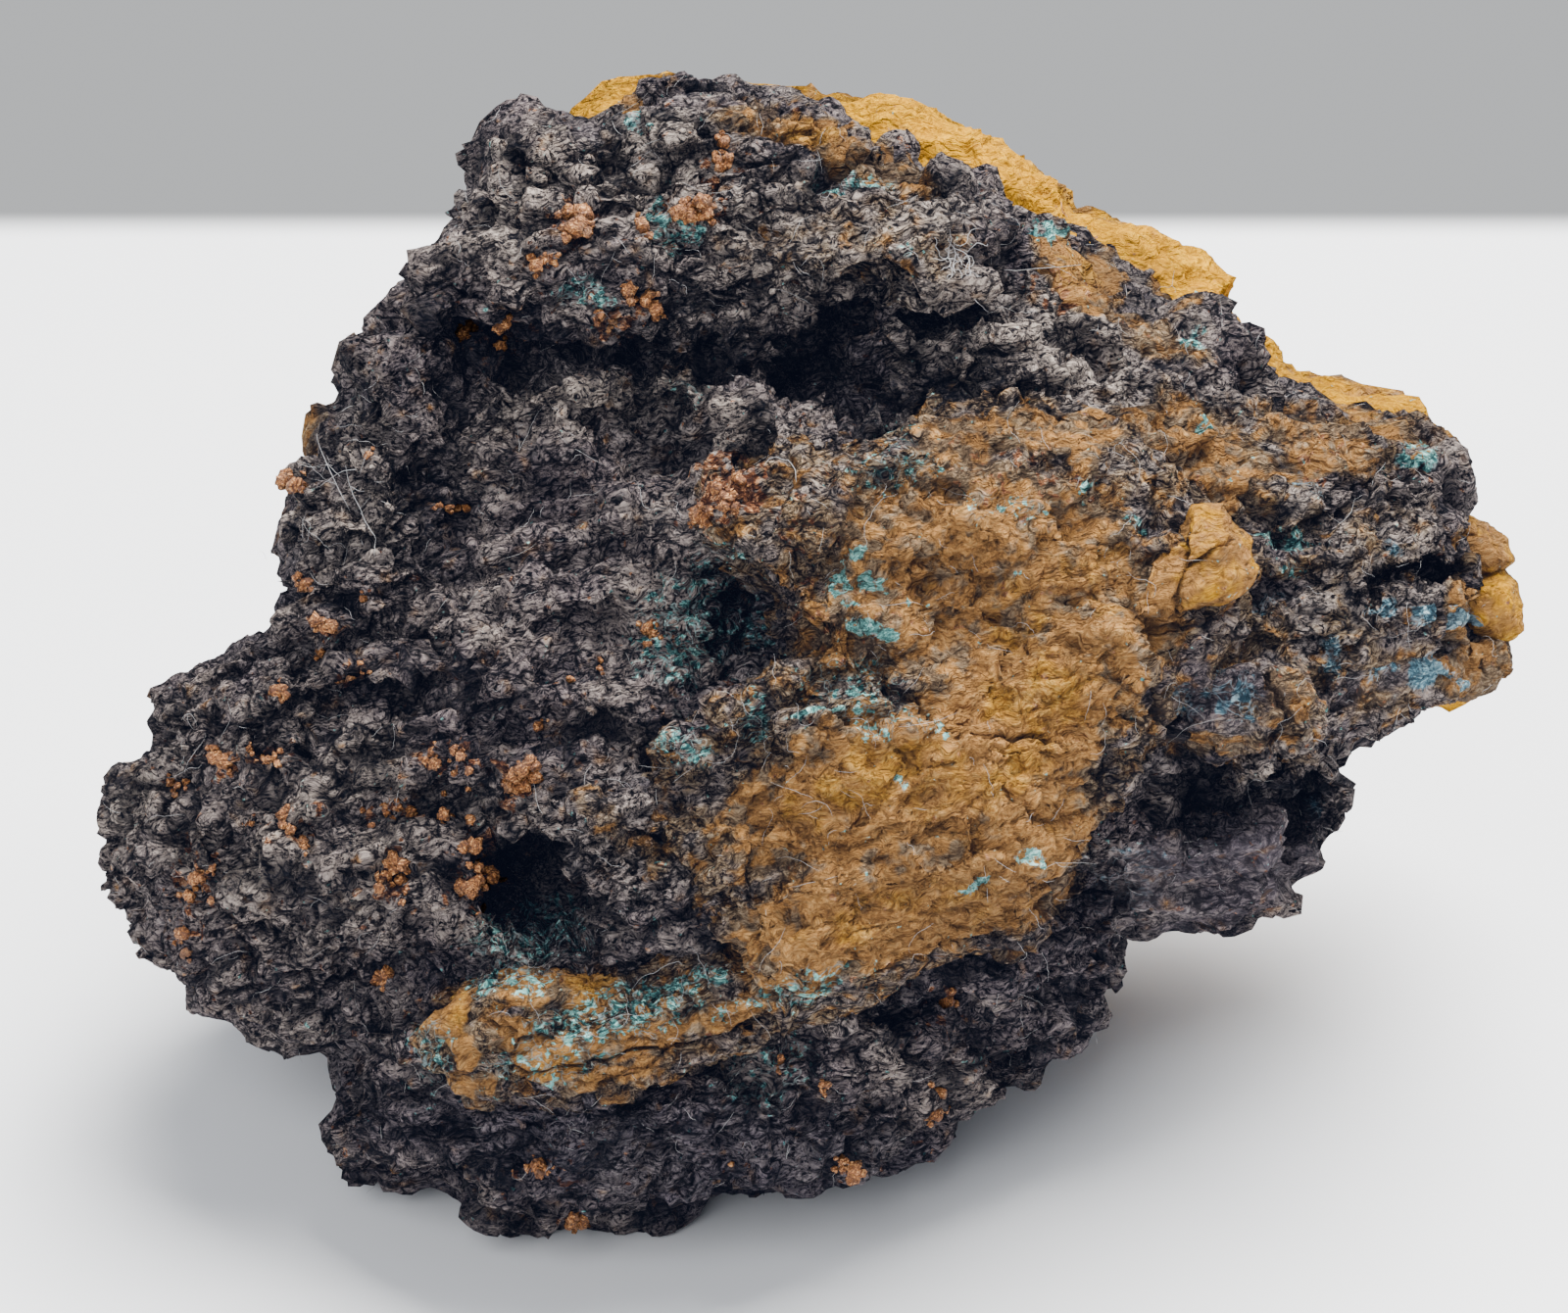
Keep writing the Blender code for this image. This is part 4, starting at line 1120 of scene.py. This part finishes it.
# %% Node helpers
def light(red, green, blue):
    """A screen colour from 0 to 255 as linear light with full alpha: the sRGB curve undone."""
    share = np.array([red, green, blue]) / 255
    return (*np.where(share <= 0.04045, share / 12.92, ((share + 0.055) / 1.055) ** 2.4).tolist(), 1.0)


def add_node(tree, kind, inputs=None, **settings):
    """A new node with its settings, and with each input set to a value or joined to a socket."""
    node = tree.nodes.new(kind)
    for setting, value in settings.items():
        setattr(node, setting, value)
    for key, value in (inputs or {}).items():
        if isinstance(value, bpy.types.NodeSocket):
            tree.links.new(value, node.inputs[key])
        else:
            node.inputs[key].default_value = value
    return node


def maths(tree, operation, first, second=0.0, clamp=False):
    """One sum on two values or sockets."""
    inputs = {0: first, 1: second}
    return add_node(tree, "ShaderNodeMath", inputs, operation=operation, use_clamp=clamp).outputs[0]


def times(tree, first, *others):
    """Values or sockets multiplied one after the other."""
    for other in others:
        first = maths(tree, "MULTIPLY", first, other)
    return first


def from_middle(tree, value):
    """How far a value is from one half, either way."""
    return maths(tree, "ABSOLUTE", maths(tree, "SUBTRACT", value, 0.5))


def blend(tree, share, first, second, mode="MIX"):
    """Two colours mixed by a share."""
    node = add_node(tree, "ShaderNodeMix", {"Factor": share}, data_type="RGBA", blend_type=mode)
    for socket, value in ((node.inputs[6], first), (node.inputs[7], second)):
        if isinstance(value, bpy.types.NodeSocket):
            tree.links.new(value, socket)
        else:
            socket.default_value = value
    return node.outputs[2]


def remap(tree, value, low, high, to_low=0.0, to_high=1.0):
    """A value's range changed to another along an S-curve, and held at its ends."""
    node = add_node(
        tree,
        "ShaderNodeMapRange",
        {"Value": value, "From Min": low, "From Max": high, "To Min": to_low, "To Max": to_high},
        interpolation_type="SMOOTHSTEP",
    )
    return node.outputs[0]


def colour_ramp(tree, share, stops):
    """A colour looked up along a row of stops, each a place from 0 to 1 and a screen colour."""
    node = add_node(tree, "ShaderNodeValToRGB", {"Fac": share})
    ramp = node.color_ramp
    while len(ramp.elements) < len(stops):
        ramp.elements.new(0.5)
    for element, (place, colour) in zip(ramp.elements, stops):
        element.position = place
        element.color = light(*colour)
    return node.outputs[0]


def attribute(tree, name):
    """A vertex attribute's value."""
    node = add_node(tree, "ShaderNodeAttribute", attribute_name=name, attribute_type="GEOMETRY")
    return node.outputs["Fac"]


def object_place(tree):
    """Places on the object's own coordinates, in metres."""
    return tree.nodes.new("ShaderNodeTexCoord").outputs["Object"]


def noise_value(tree, place, scale, detail=2.0, roughness=0.5):
    """Smooth noise from 0 to 1."""
    inputs = {"Vector": place, "Scale": scale, "Detail": detail, "Roughness": roughness}
    return add_node(tree, "ShaderNodeTexNoise", inputs).outputs["Fac"]


def bump(tree, shader, height, distance, strength):
    """A height joined to a shader's normal."""
    inputs = {"Height": height, "Distance": distance, "Strength": strength}
    tree.links.new(add_node(tree, "ShaderNodeBump", inputs).outputs[0], shader.inputs["Normal"])


def new_group(name, inputs, outputs):
    """(tree, inputs, outputs) of an empty node group with the sockets asked for."""
    tree = bpy.data.node_groups.new(name, "ShaderNodeTree")
    for title, kind, value in inputs:
        socket = tree.interface.new_socket(title, in_out="INPUT", socket_type=kind)
        if value is not None:
            socket.default_value = value
    for title, kind in outputs:
        tree.interface.new_socket(title, in_out="OUTPUT", socket_type=kind)
    return tree, tree.nodes.new("NodeGroupInput").outputs, tree.nodes.new("NodeGroupOutput").inputs


def new_material(name):
    """(material, tree, shader) of a fresh material."""
    material = bpy.data.materials.new(name)
    material.use_nodes = True
    return material, material.node_tree, material.node_tree.nodes["Principled BSDF"]


print("helpers ready, mid grey is", round(light(128, 128, 128)[0], 3))

# %% [markdown]
# ## Shared effects
#
# Two effects serve every mineral here. Fine grain gives what is too small to model: crumbs, thin sheets and
# sand, as a height for bump and as a shade for colour, and a net of thin strands. Broken edge turns a soft
# patch into scattered flecks: where the amount is high nearly all of it is covered, and where it is low
# only the peaks of the noise are.

# %% Fine grain group
def bed_directions():
    """Along the beds, across them and towards the viewer, in the nugget's axes."""
    right, up, out = view_directions()
    sin, cos = math.sin(BEDDING_TURN), math.cos(BEDDING_TURN)
    return right * cos + up * sin, up * cos - right * sin, out


def edge_distance(tree, place, scale):
    """Cells round scattered points: the distance to the nearest edge. It is slow, so it feeds no bump."""
    inputs = {"Vector": place, "Scale": scale}
    return add_node(tree, "ShaderNodeTexVoronoi", inputs, feature="DISTANCE_TO_EDGE").outputs["Distance"]


def bent_place(tree, place, scale, reach):
    """Places pushed about by noise, so that the edges of cells aren't straight."""

    def step(operation, first, second):
        node = add_node(tree, "ShaderNodeVectorMath", {0: first, 1: second}, operation=operation)
        return node.outputs[0]

    inputs = {"Vector": place, "Scale": scale, "Detail": 1.0, "Roughness": 0.5}
    bend = add_node(tree, "ShaderNodeTexNoise", inputs)
    centred = step("SUBTRACT", bend.outputs["Color"], (0.5,) * 3)
    return step("ADD", place, step("MULTIPLY", centred, (reach,) * 3))


def cracks_of(tree, place, scale, width, darkness):
    """Fine wandering cracks: noise makes hills, and the line half way up them is dark."""
    hills = noise_value(tree, place, scale, 3.0, 0.62)
    return remap(tree, from_middle(tree, hills), 0.0, width, darkness, 1.0)


def bed_places(tree, moved, across_by):
    """Places measured along the beds, across them and towards the viewer, stretched across."""
    parts = []
    for way in bed_directions():
        node = add_node(tree, "ShaderNodeVectorMath", {0: moved, 1: tuple(way)}, operation="DOT_PRODUCT")
        parts.append(node.outputs["Value"])
    across = times(tree, parts[1], across_by)
    return add_node(tree, "ShaderNodeCombineXYZ", {0: parts[0], 1: across, 2: parts[2]}).outputs[0]


def fine_grain_group():
    """Crumbs parted by crevices that open and close, thin beds and sand: height, two shades and a net."""
    tree, given, made = new_group(
        "fine grain",
        [("Crumbs per metre", "NodeSocketFloat", 620.0), ("Stretch", "NodeSocketFloat", 1.5)],
        [(title, "NodeSocketFloat") for title in ("Height", "Shade", "Soft shade", "Net")],
    )
    size = given["Crumbs per metre"]
    place = object_place(tree)
    moved = bent_place(tree, place, 1000.0, 0.0010)
    beds = bed_places(tree, moved, given["Stretch"])
    sheets = bed_places(tree, moved, times(tree, given["Stretch"], 3.2))
    closed = remap(tree, noise_value(tree, place, 520.0, 1.0), 0.50, 0.66, 0.0, 0.16)
    small_closed = remap(tree, noise_value(tree, place, 900.0, 1.0), 0.48, 0.66, 0.0, 0.26)
    crumbs = maths(tree, "ADD", edge_distance(tree, beds, size), closed)
    grainy = noise_value(tree, beds, times(tree, size, 3.6), 1.0)
    small = maths(tree, "ADD", times(tree, from_middle(tree, grainy), 2.4), small_closed)
    lumpy = noise_value(tree, beds, times(tree, size, 1.5), 1.0)
    sand = noise_value(tree, beds, times(tree, size, 5.2), 3.0, 0.66)
    wide_cracks = cracks_of(tree, beds, times(tree, size, 1.7), 0.034, 0.10)
    cracks = times(tree, wide_cracks, cracks_of(tree, beds, times(tree, size, 5.2), 0.055, 0.24))
    gap = from_middle(tree, noise_value(tree, sheets, times(tree, size, 0.9), 3.0, 0.6))
    ridges = remap(tree, from_middle(tree, lumpy), 0.0, 0.14, 0.0, 0.70)
    height = maths(tree, "ADD", ridges, remap(tree, gap, 0.0, 0.06, 0.0, 0.24))
    height = maths(tree, "ADD", height, sand)
    grit = remap(tree, sand, 0.38, 0.53)
    thin = remap(tree, gap, 0.0, 0.040, 0.25, 1.0)
    wide_gaps = remap(tree, crumbs, 0.0, 0.10, 0.05, 1.0)
    small_gaps = remap(tree, small, 0.0, 0.13, 0.20, 1.0)
    of_crumb = remap(tree, lumpy, 0.3, 0.7, 0.84, 1.10)
    powder = noise_value(tree, beds, times(tree, size, 6.4), 2.0, 0.62)
    soft_gaps = remap(tree, crumbs, 0.0, 0.06, 0.74, 1.0)
    soft_thin = remap(tree, gap, 0.0, 0.035, 0.66, 1.0)
    soft_sand = remap(tree, sand, 0.34, 0.60, 0.70, 1.0)
    soft_powder = remap(tree, powder, 0.38, 0.56, 0.32, 1.0)
    soft_of_crumb = remap(tree, lumpy, 0.3, 0.7, 0.90, 1.06)
    strand = from_middle(tree, noise_value(tree, moved, times(tree, size, 2.6), 1.0))
    tree.links.new(height, made["Height"])
    tree.links.new(times(tree, wide_gaps, small_gaps, thin, grit, cracks, of_crumb), made["Shade"])
    soft = times(tree, soft_gaps, soft_thin, soft_sand, soft_powder, soft_of_crumb)
    tree.links.new(soft, made["Soft shade"])
    tree.links.new(remap(tree, strand, 0.0, 0.040, 1.0, 0.0), made["Net"])
    return tree


def broken_edge_group():
    """A soft amount turned to flecks: noise is added to it and the sum is cut off sharply."""
    tree, given, made = new_group(
        "broken edge",
        [
            ("Amount", "NodeSocketFloat", 0.0),
            ("Flecks per metre", "NodeSocketFloat", 3000.0),
            ("Raggedness", "NodeSocketFloat", 1.0),
            ("Softness", "NodeSocketFloat", 0.08),
        ],
        [("Cover", "NodeSocketFloat")],
    )
    flecks = noise_value(tree, object_place(tree), given["Flecks per metre"], 2.0, 0.6)
    swing = times(tree, maths(tree, "SUBTRACT", flecks, 0.5), given["Raggedness"], 2.4)
    total = maths(tree, "ADD", given["Amount"], swing)
    low = maths(tree, "SUBTRACT", 0.5, given["Softness"])
    high = maths(tree, "ADD", 0.5, given["Softness"])
    tree.links.new(remap(tree, total, low, high), made["Cover"])
    return tree


FINE_GRAIN = fine_grain_group()
BROKEN_EDGE = broken_edge_group()
print("groups:", FINE_GRAIN.name, "and", BROKEN_EDGE.name)

# %% [markdown]
# ## The rock's material
#
# On the real rock one mineral grades into the next, so one function makes the material of all the lumps.
# The lumps of limonite get a clearer yellow and an evener skin. The colour starts from the dark oxide,
# whose crevices are painted near black as shade, and dust and painted light make it paler, and painted
# shade darker. The ochre amount then leads the colour through grey-brown to yellow. Copper stain is laid
# on top as flecks, green and blue as flecks and as a net, and last the hollows and cracks are darkened
# with painted shade, and the dirt patches with dirt.

# %% Rock material
# screen colours of each mineral for the crevice, side, top and edge of a crumb; the crevice colour is painted
# shade in crevices too fine to model
DARK_OXIDE = ((5, 6, 10), (96, 86, 88), (120, 108, 106), (128, 116, 113))
DUSTY_AND_LIT_OXIDE = ((20, 18, 20), (150, 137, 128), (168, 154, 142), (176, 163, 150))
DRAB_OCHRE = ((26, 20, 17), (108, 88, 66), (136, 115, 89), (150, 131, 106))
OCHRE = ((80, 55, 29), (140, 98, 52), (164, 119, 67), (172, 131, 80))
DULL_YELLOW = ((78, 52, 20), (150, 103, 36), (176, 127, 46), (190, 146, 72))
CLEAR_YELLOW = ((92, 60, 8), (170, 117, 8), (208, 148, 10), (226, 172, 30))
RUST = ((58, 32, 20), (124, 78, 50), (170, 118, 80), (206, 158, 118))
GREEN = ((34, 68, 70), (98, 152, 146), (144, 206, 196), (190, 236, 226))
BLUE = ((36, 56, 66), (86, 118, 130), (128, 160, 170), (180, 208, 214))
GREEN_NET, BLUE_NET, GREY_NET = (142, 162, 160), (142, 160, 168), (150, 143, 140)
# how much of the amount counts, flecks per metre, raggedness, softness, and how much of the net shows
GREEN_HABIT = (0.78, 2300.0, 0.9, 0.08, 0.9)
BLUE_HABIT = (0.82, 1500.0, 0.7, 0.12, 0.8)
# near-black and brown painted shade for crevices and cracks, also the dirt of the dirt patches
DARK_SHADE_AND_DIRT, BROWN_SHADE_AND_DIRT = (9, 11, 18), (62, 43, 26)
# a bluish tint multiplied into the hollows as painted shade
HOLLOW_SHADE_TINT = (164, 171, 192)
FAINT_GLOW = (9, 13, 25)
LIMONITE_LUMPS = ("back_crust", "ochre_knob", "wedge_knob", "round_knob", "low_knob")
STOPS = (0.0, 0.28, 0.62, 1.0)


def cover(tree, amount, flecks, raggedness, softness=0.08):
    """The broken edge group placed in a material."""
    node = add_node(tree, "ShaderNodeGroup", node_tree=BROKEN_EDGE)
    tree.links.new(amount, node.inputs["Amount"])
    node.inputs["Flecks per metre"].default_value = flecks
    node.inputs["Raggedness"].default_value = raggedness
    node.inputs["Softness"].default_value = softness
    return node.outputs["Cover"]


def shades(tree, shade, colours):
    """A ramp through four screen colours, for crevice, side, top and edge of a crumb."""
    return colour_ramp(tree, shade, list(zip(STOPS, colours)))


def mixed_values(tree, share, first, second):
    """Two values mixed by a share."""
    return add_node(tree, "ShaderNodeMix", {"Factor": share, 2: first, 3: second}).outputs[0]


def with_mineral(tree, colour, here, net, habit, net_colour, own_colour):
    """A colour with a mineral on it: a net of thin strands, and over it flecks."""
    kept, flecks, raggedness, softness, net_share = habit
    netted = times(tree, net, remap(tree, here, 0.10, 0.55, 0.0, net_share))
    colour = blend(tree, netted, colour, light(*net_colour))
    return blend(tree, cover(tree, times(tree, here, kept), flecks, raggedness, softness), colour, own_colour)


def rock_material(name, gloss, evenness, yellow):
    """Dark oxide, ochre, copper stain, green and blue, each laid over the last by its own amount."""
    material, tree, shader = new_material(name)
    place = object_place(tree)
    grain = add_node(tree, "ShaderNodeGroup", node_tree=FINE_GRAIN).outputs
    slow = noise_value(tree, place, 260.0, 3.0)
    middling = noise_value(tree, place, 800.0, 2.0)
    patchy = noise_value(tree, place, 420.0)
    titles = ("ochre", "bright", "smooth", "dust_and_painted_light", "copper", "green", "blue", "hollow", "crevice")
    here = {title: attribute(tree, title) for title in titles}

    softer = remap(tree, here["ochre"], 0.25, 0.75, 0.0, 0.85)
    chosen = mixed_values(tree, softer, grain["Shade"], grain["Soft shade"])
    uneven = times(tree, chosen, remap(tree, middling, 0.35, 0.65, 0.82, 1.14))
    shade = mixed_values(tree, times(tree, here["smooth"], 0.62), uneven, evenness)

    # dust and painted light make the oxide paler, and painted shade keeps it at its darkest
    dust_and_painted_light = maths(tree, "ADD", here["dust_and_painted_light"], remap(tree, slow, 0.36, 0.64, -0.26, 0.26), clamp=True)
    colour = blend(tree, dust_and_painted_light, shades(tree, shade, DARK_OXIDE), shades(tree, shade, DUSTY_AND_LIT_OXIDE))
    amount = maths(tree, "ADD", here["ochre"], remap(tree, middling, 0.3, 0.7, -0.14, 0.14))
    colour = blend(tree, remap(tree, amount, 0.08, 0.36), colour, shades(tree, shade, DRAB_OCHRE))
    colour = blend(tree, cover(tree, amount, 1000.0, 0.8, 0.16), colour, shades(tree, shade, OCHRE))
    colour = blend(tree, cover(tree, here["bright"], 700.0, 0.8, 0.34), colour, shades(tree, shade, yellow))
    stained = cover(tree, times(tree, here["copper"], 0.62), 1500.0, 1.0)
    colour = blend(tree, stained, colour, shades(tree, shade, RUST))
    net = grain["Net"]
    green, blue = shades(tree, shade, GREEN), shades(tree, shade, BLUE)
    colour = with_mineral(tree, colour, here["green"], net, GREEN_HABIT, GREEN_NET, green)
    colour = with_mineral(tree, colour, here["blue"], net, BLUE_HABIT, BLUE_NET, blue)
    strands = times(tree, net, remap(tree, patchy, 0.50, 0.66, 0.0, 0.20))
    strands = times(tree, strands, remap(tree, here["ochre"], 0.1, 0.6, 1.0, 0.1))
    colour = blend(tree, strands, colour, light(*GREY_NET))
    # crevices and cracks darkened as painted shade, and the dirt patches with dirt
    darkening = blend(tree, remap(tree, here["ochre"], 0.2, 0.7), light(*DARK_SHADE_AND_DIRT), light(*BROWN_SHADE_AND_DIRT))
    # painted shade: the hollows and the shaded patches are multiplied by a bluish tint
    colour = blend(tree, times(tree, here["hollow"], 0.80), colour, light(*HOLLOW_SHADE_TINT), mode="MULTIPLY")
    colour = blend(tree, times(tree, here["crevice"], 0.82), colour, darkening)

    tree.links.new(colour, shader.inputs["Base Color"])
    tree.links.new(remap(tree, shade, 0.0, 1.0, 0.95, 0.74), shader.inputs["Roughness"])
    shader.inputs["Specular IOR Level"].default_value = gloss
    shader.inputs["Emission Color"].default_value = light(*FAINT_GLOW)
    shader.inputs["Emission Strength"].default_value = 1.0
    bump(tree, shader, grain["Height"], 0.00055, remap(tree, here["smooth"], 0.0, 1.0, 1.0, 0.45))
    return material


ROCK = rock_material("copper_ore_rock", 0.05, 0.16, DULL_YELLOW)
LIMONITE = rock_material("limonite_crust", 0.04, 0.50, CLEAR_YELLOW)
for name, piece in rock_pieces.items():
    piece.data.materials.append(LIMONITE if name in LIMONITE_LUMPS else ROCK)
print(len(ROCK.node_tree.nodes), "nodes in the rock's material")

# %% [markdown]
# ## Copper and lint materials
#
# Copper that has lain in the ground isn't shiny: it is a matt orange-brown with darker dirt in its hollows,
# so it is partly metal and rather rough. Lint is white fibre that lets some light through.

# %% Copper and lint materials
# copper for the crevice, side, top and edge of a crumb; the crevice colour is painted shade
COPPER = ((84, 46, 22), (152, 94, 48), (190, 126, 70), (216, 162, 108))
COPPER_DIRT = (96, 70, 54)
LINT_GREY, LINT_PALE = (124, 124, 128), (196, 194, 192)


def copper_material():
    """Tarnished copper: an orange that noise takes from dirty brown to pale, rough and partly metallic."""
    material, tree, shader = new_material("tarnished_copper")
    grain = add_node(tree, "ShaderNodeGroup", node_tree=FINE_GRAIN)
    grain.inputs["Crumbs per metre"].default_value = 1500.0
    grain.inputs["Stretch"].default_value = 1.0
    darkening = noise_value(tree, object_place(tree), 1400.0, 4.0)
    colour = shades(tree, grain.outputs["Shade"], COPPER)
    colour = blend(tree, remap(tree, darkening, 0.54, 0.70, 0.0, 0.7), colour, light(*COPPER_DIRT))
    tree.links.new(colour, shader.inputs["Base Color"])
    shader.inputs["Metallic"].default_value = 0.12
    shader.inputs["Roughness"].default_value = 0.62
    bump(tree, shader, grain.outputs["Height"], 0.00022, 0.9)
    return material


def lint_material():
    """Pale grey cotton, matt."""
    material, tree, shader = new_material("lint_fibre")
    patches = noise_value(tree, object_place(tree), 300.0)
    colour = blend(tree, patches, light(*LINT_GREY), light(*LINT_PALE))
    tree.links.new(colour, shader.inputs["Base Color"])
    shader.inputs["Roughness"].default_value = 0.8
    return material


copper_grains.data.materials.append(copper_material())
lint.data.materials.append(lint_material())
print("copper and lint have their materials")

# %% [markdown]
# ## Sheet and backdrop
#
# The nugget lies on a white sheet in front of a pale grey wall. The sheet ends where it meets the wall in
# the picture, and the wall is simply the colour of the surroundings, which also fills the shadows softly.

# %% Sheet and surroundings
SHEET_BACK = 0.114
SHEET_REACH = 0.9
SOFT_EDGE = 0.006
WALL_COLOUR = light(202, 204, 206)
ROOM_COLOUR = light(196, 200, 208)
ROOM_STRENGTH = 0.73
SHEET_COLOURS = (light(228, 230, 234), light(242, 242, 242))


def sheet_material():
    """A white sheet with the faintest mottling, which fades into the wall over its last few millimetres."""
    material, tree, shader = new_material("white_sheet")
    place = object_place(tree)
    mottle = noise_value(tree, place, 14.0, 3.0)
    tree.links.new(blend(tree, mottle, *SHEET_COLOURS), shader.inputs["Base Color"])
    shader.inputs["Roughness"].default_value = 0.7
    back = add_node(tree, "ShaderNodeSeparateXYZ", {0: place}).outputs["Y"]
    share = remap(tree, back, SHEET_BACK - SOFT_EDGE, SHEET_BACK)
    wall_light = add_node(tree, "ShaderNodeEmission", {"Color": WALL_COLOUR})
    faded = add_node(tree, "ShaderNodeMixShader", {0: share, 1: shader.outputs[0], 2: wall_light.outputs[0]})
    tree.links.new(faded.outputs[0], tree.nodes["Material Output"].inputs["Surface"])
    return material


across, forward, back = SHEET_REACH / MM, -SHEET_REACH / MM, SHEET_BACK / MM
sheet_corners = np.array([(-across, forward, 0), (across, forward, 0), (across, back, 0), (-across, back, 0)])
sheet = make_mesh("sheet", sheet_corners, np.array([(0, 1, 2, 3)]))
sheet.data.materials.append(sheet_material())

world = bpy.data.worlds.new("pale_room")
world.use_nodes = True
bpy.context.scene.world = world
wall = world.node_tree.nodes["Background"]
wall.inputs["Color"].default_value = WALL_COLOUR
wall.inputs["Strength"].default_value = 1.0
room = add_node(world.node_tree, "ShaderNodeBackground", {"Color": ROOM_COLOUR, "Strength": ROOM_STRENGTH})
seen_by_camera = world.node_tree.nodes.new("ShaderNodeLightPath").outputs["Is Camera Ray"]
both = add_node(
    world.node_tree, "ShaderNodeMixShader", {0: seen_by_camera, 1: room.outputs[0], 2: wall.outputs[0]}
)
world.node_tree.links.new(both.outputs[0], world.node_tree.nodes["World Output"].inputs["Surface"])
print("sheet ends", SHEET_BACK, "m behind the nugget")

# %% [markdown]
# ## Light and camera
#
# The light in the picture is soft and comes from above and a little behind, as from a ceiling: the sheet is
# brightest on the right, and the shadow lies under the rock. The camera stands where the viewer does. Its
# lens is set so that one pixel spans the same length as in the outlines.

# %% Light and camera
SENSOR = 36.0


def area_light(name, place, size, watts, colour):
    """A square lamp at a place in metres, turned to the nugget's middle."""
    lamp = bpy.data.lights.new(name, "AREA")
    lamp.shape = "SQUARE"
    lamp.size = size
    lamp.energy = watts
    lamp.color = colour
    holder = bpy.data.objects.new(name, lamp)
    holder.location = place
    aim = np.array(VIEW_CENTRE) * MM - np.array(place)
    holder.rotation_euler = turn_along(aim)
    bpy.context.scene.collection.objects.link(holder)
    return holder


def turn_along(aim):
    """The turn that points a lamp's or a camera's own minus Z along a direction, upright."""
    flat = math.hypot(aim[0], aim[1])
    return (math.atan2(flat, -aim[2]), 0.0, math.atan2(-aim[0], aim[1]) if flat > 1e-6 else 0.0)


# place in metres, size in metres, watts and colour
area_light("ceiling", (0.15, 0.14, 0.62), 0.60, 22.5, (1.0, 0.99, 0.97))
area_light("window", (-0.22, -0.60, 0.46), 0.45, 6.0, (0.95, 0.97, 1.0))

camera = bpy.data.cameras.new("viewer")
camera.sensor_width = SENSOR
camera.lens = SENSOR * VIEW_DISTANCE / (PICTURE_WIDTH * MM_PER_PIXEL)
camera.clip_start = 0.01
viewer = bpy.data.objects.new("viewer", camera)
towards_viewer = view_directions()[2]
viewer.location = (np.array(VIEW_CENTRE) + towards_viewer * VIEW_DISTANCE) * MM
viewer.rotation_euler = turn_along(-towards_viewer)
bpy.context.scene.collection.objects.link(viewer)
bpy.context.scene.camera = viewer
print("lens", round(camera.lens, 1), "mm")

# %% [markdown]
# ## Handing over
#
# Every piece is tied to the one body of the model, and the CAD solid is hidden. Each piece was given
# its material above.

# %% Tie the pieces and finish
for piece in [*rock_pieces.values(), copper_grains, lint]:
    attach(piece, "root")
    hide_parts(NODE)
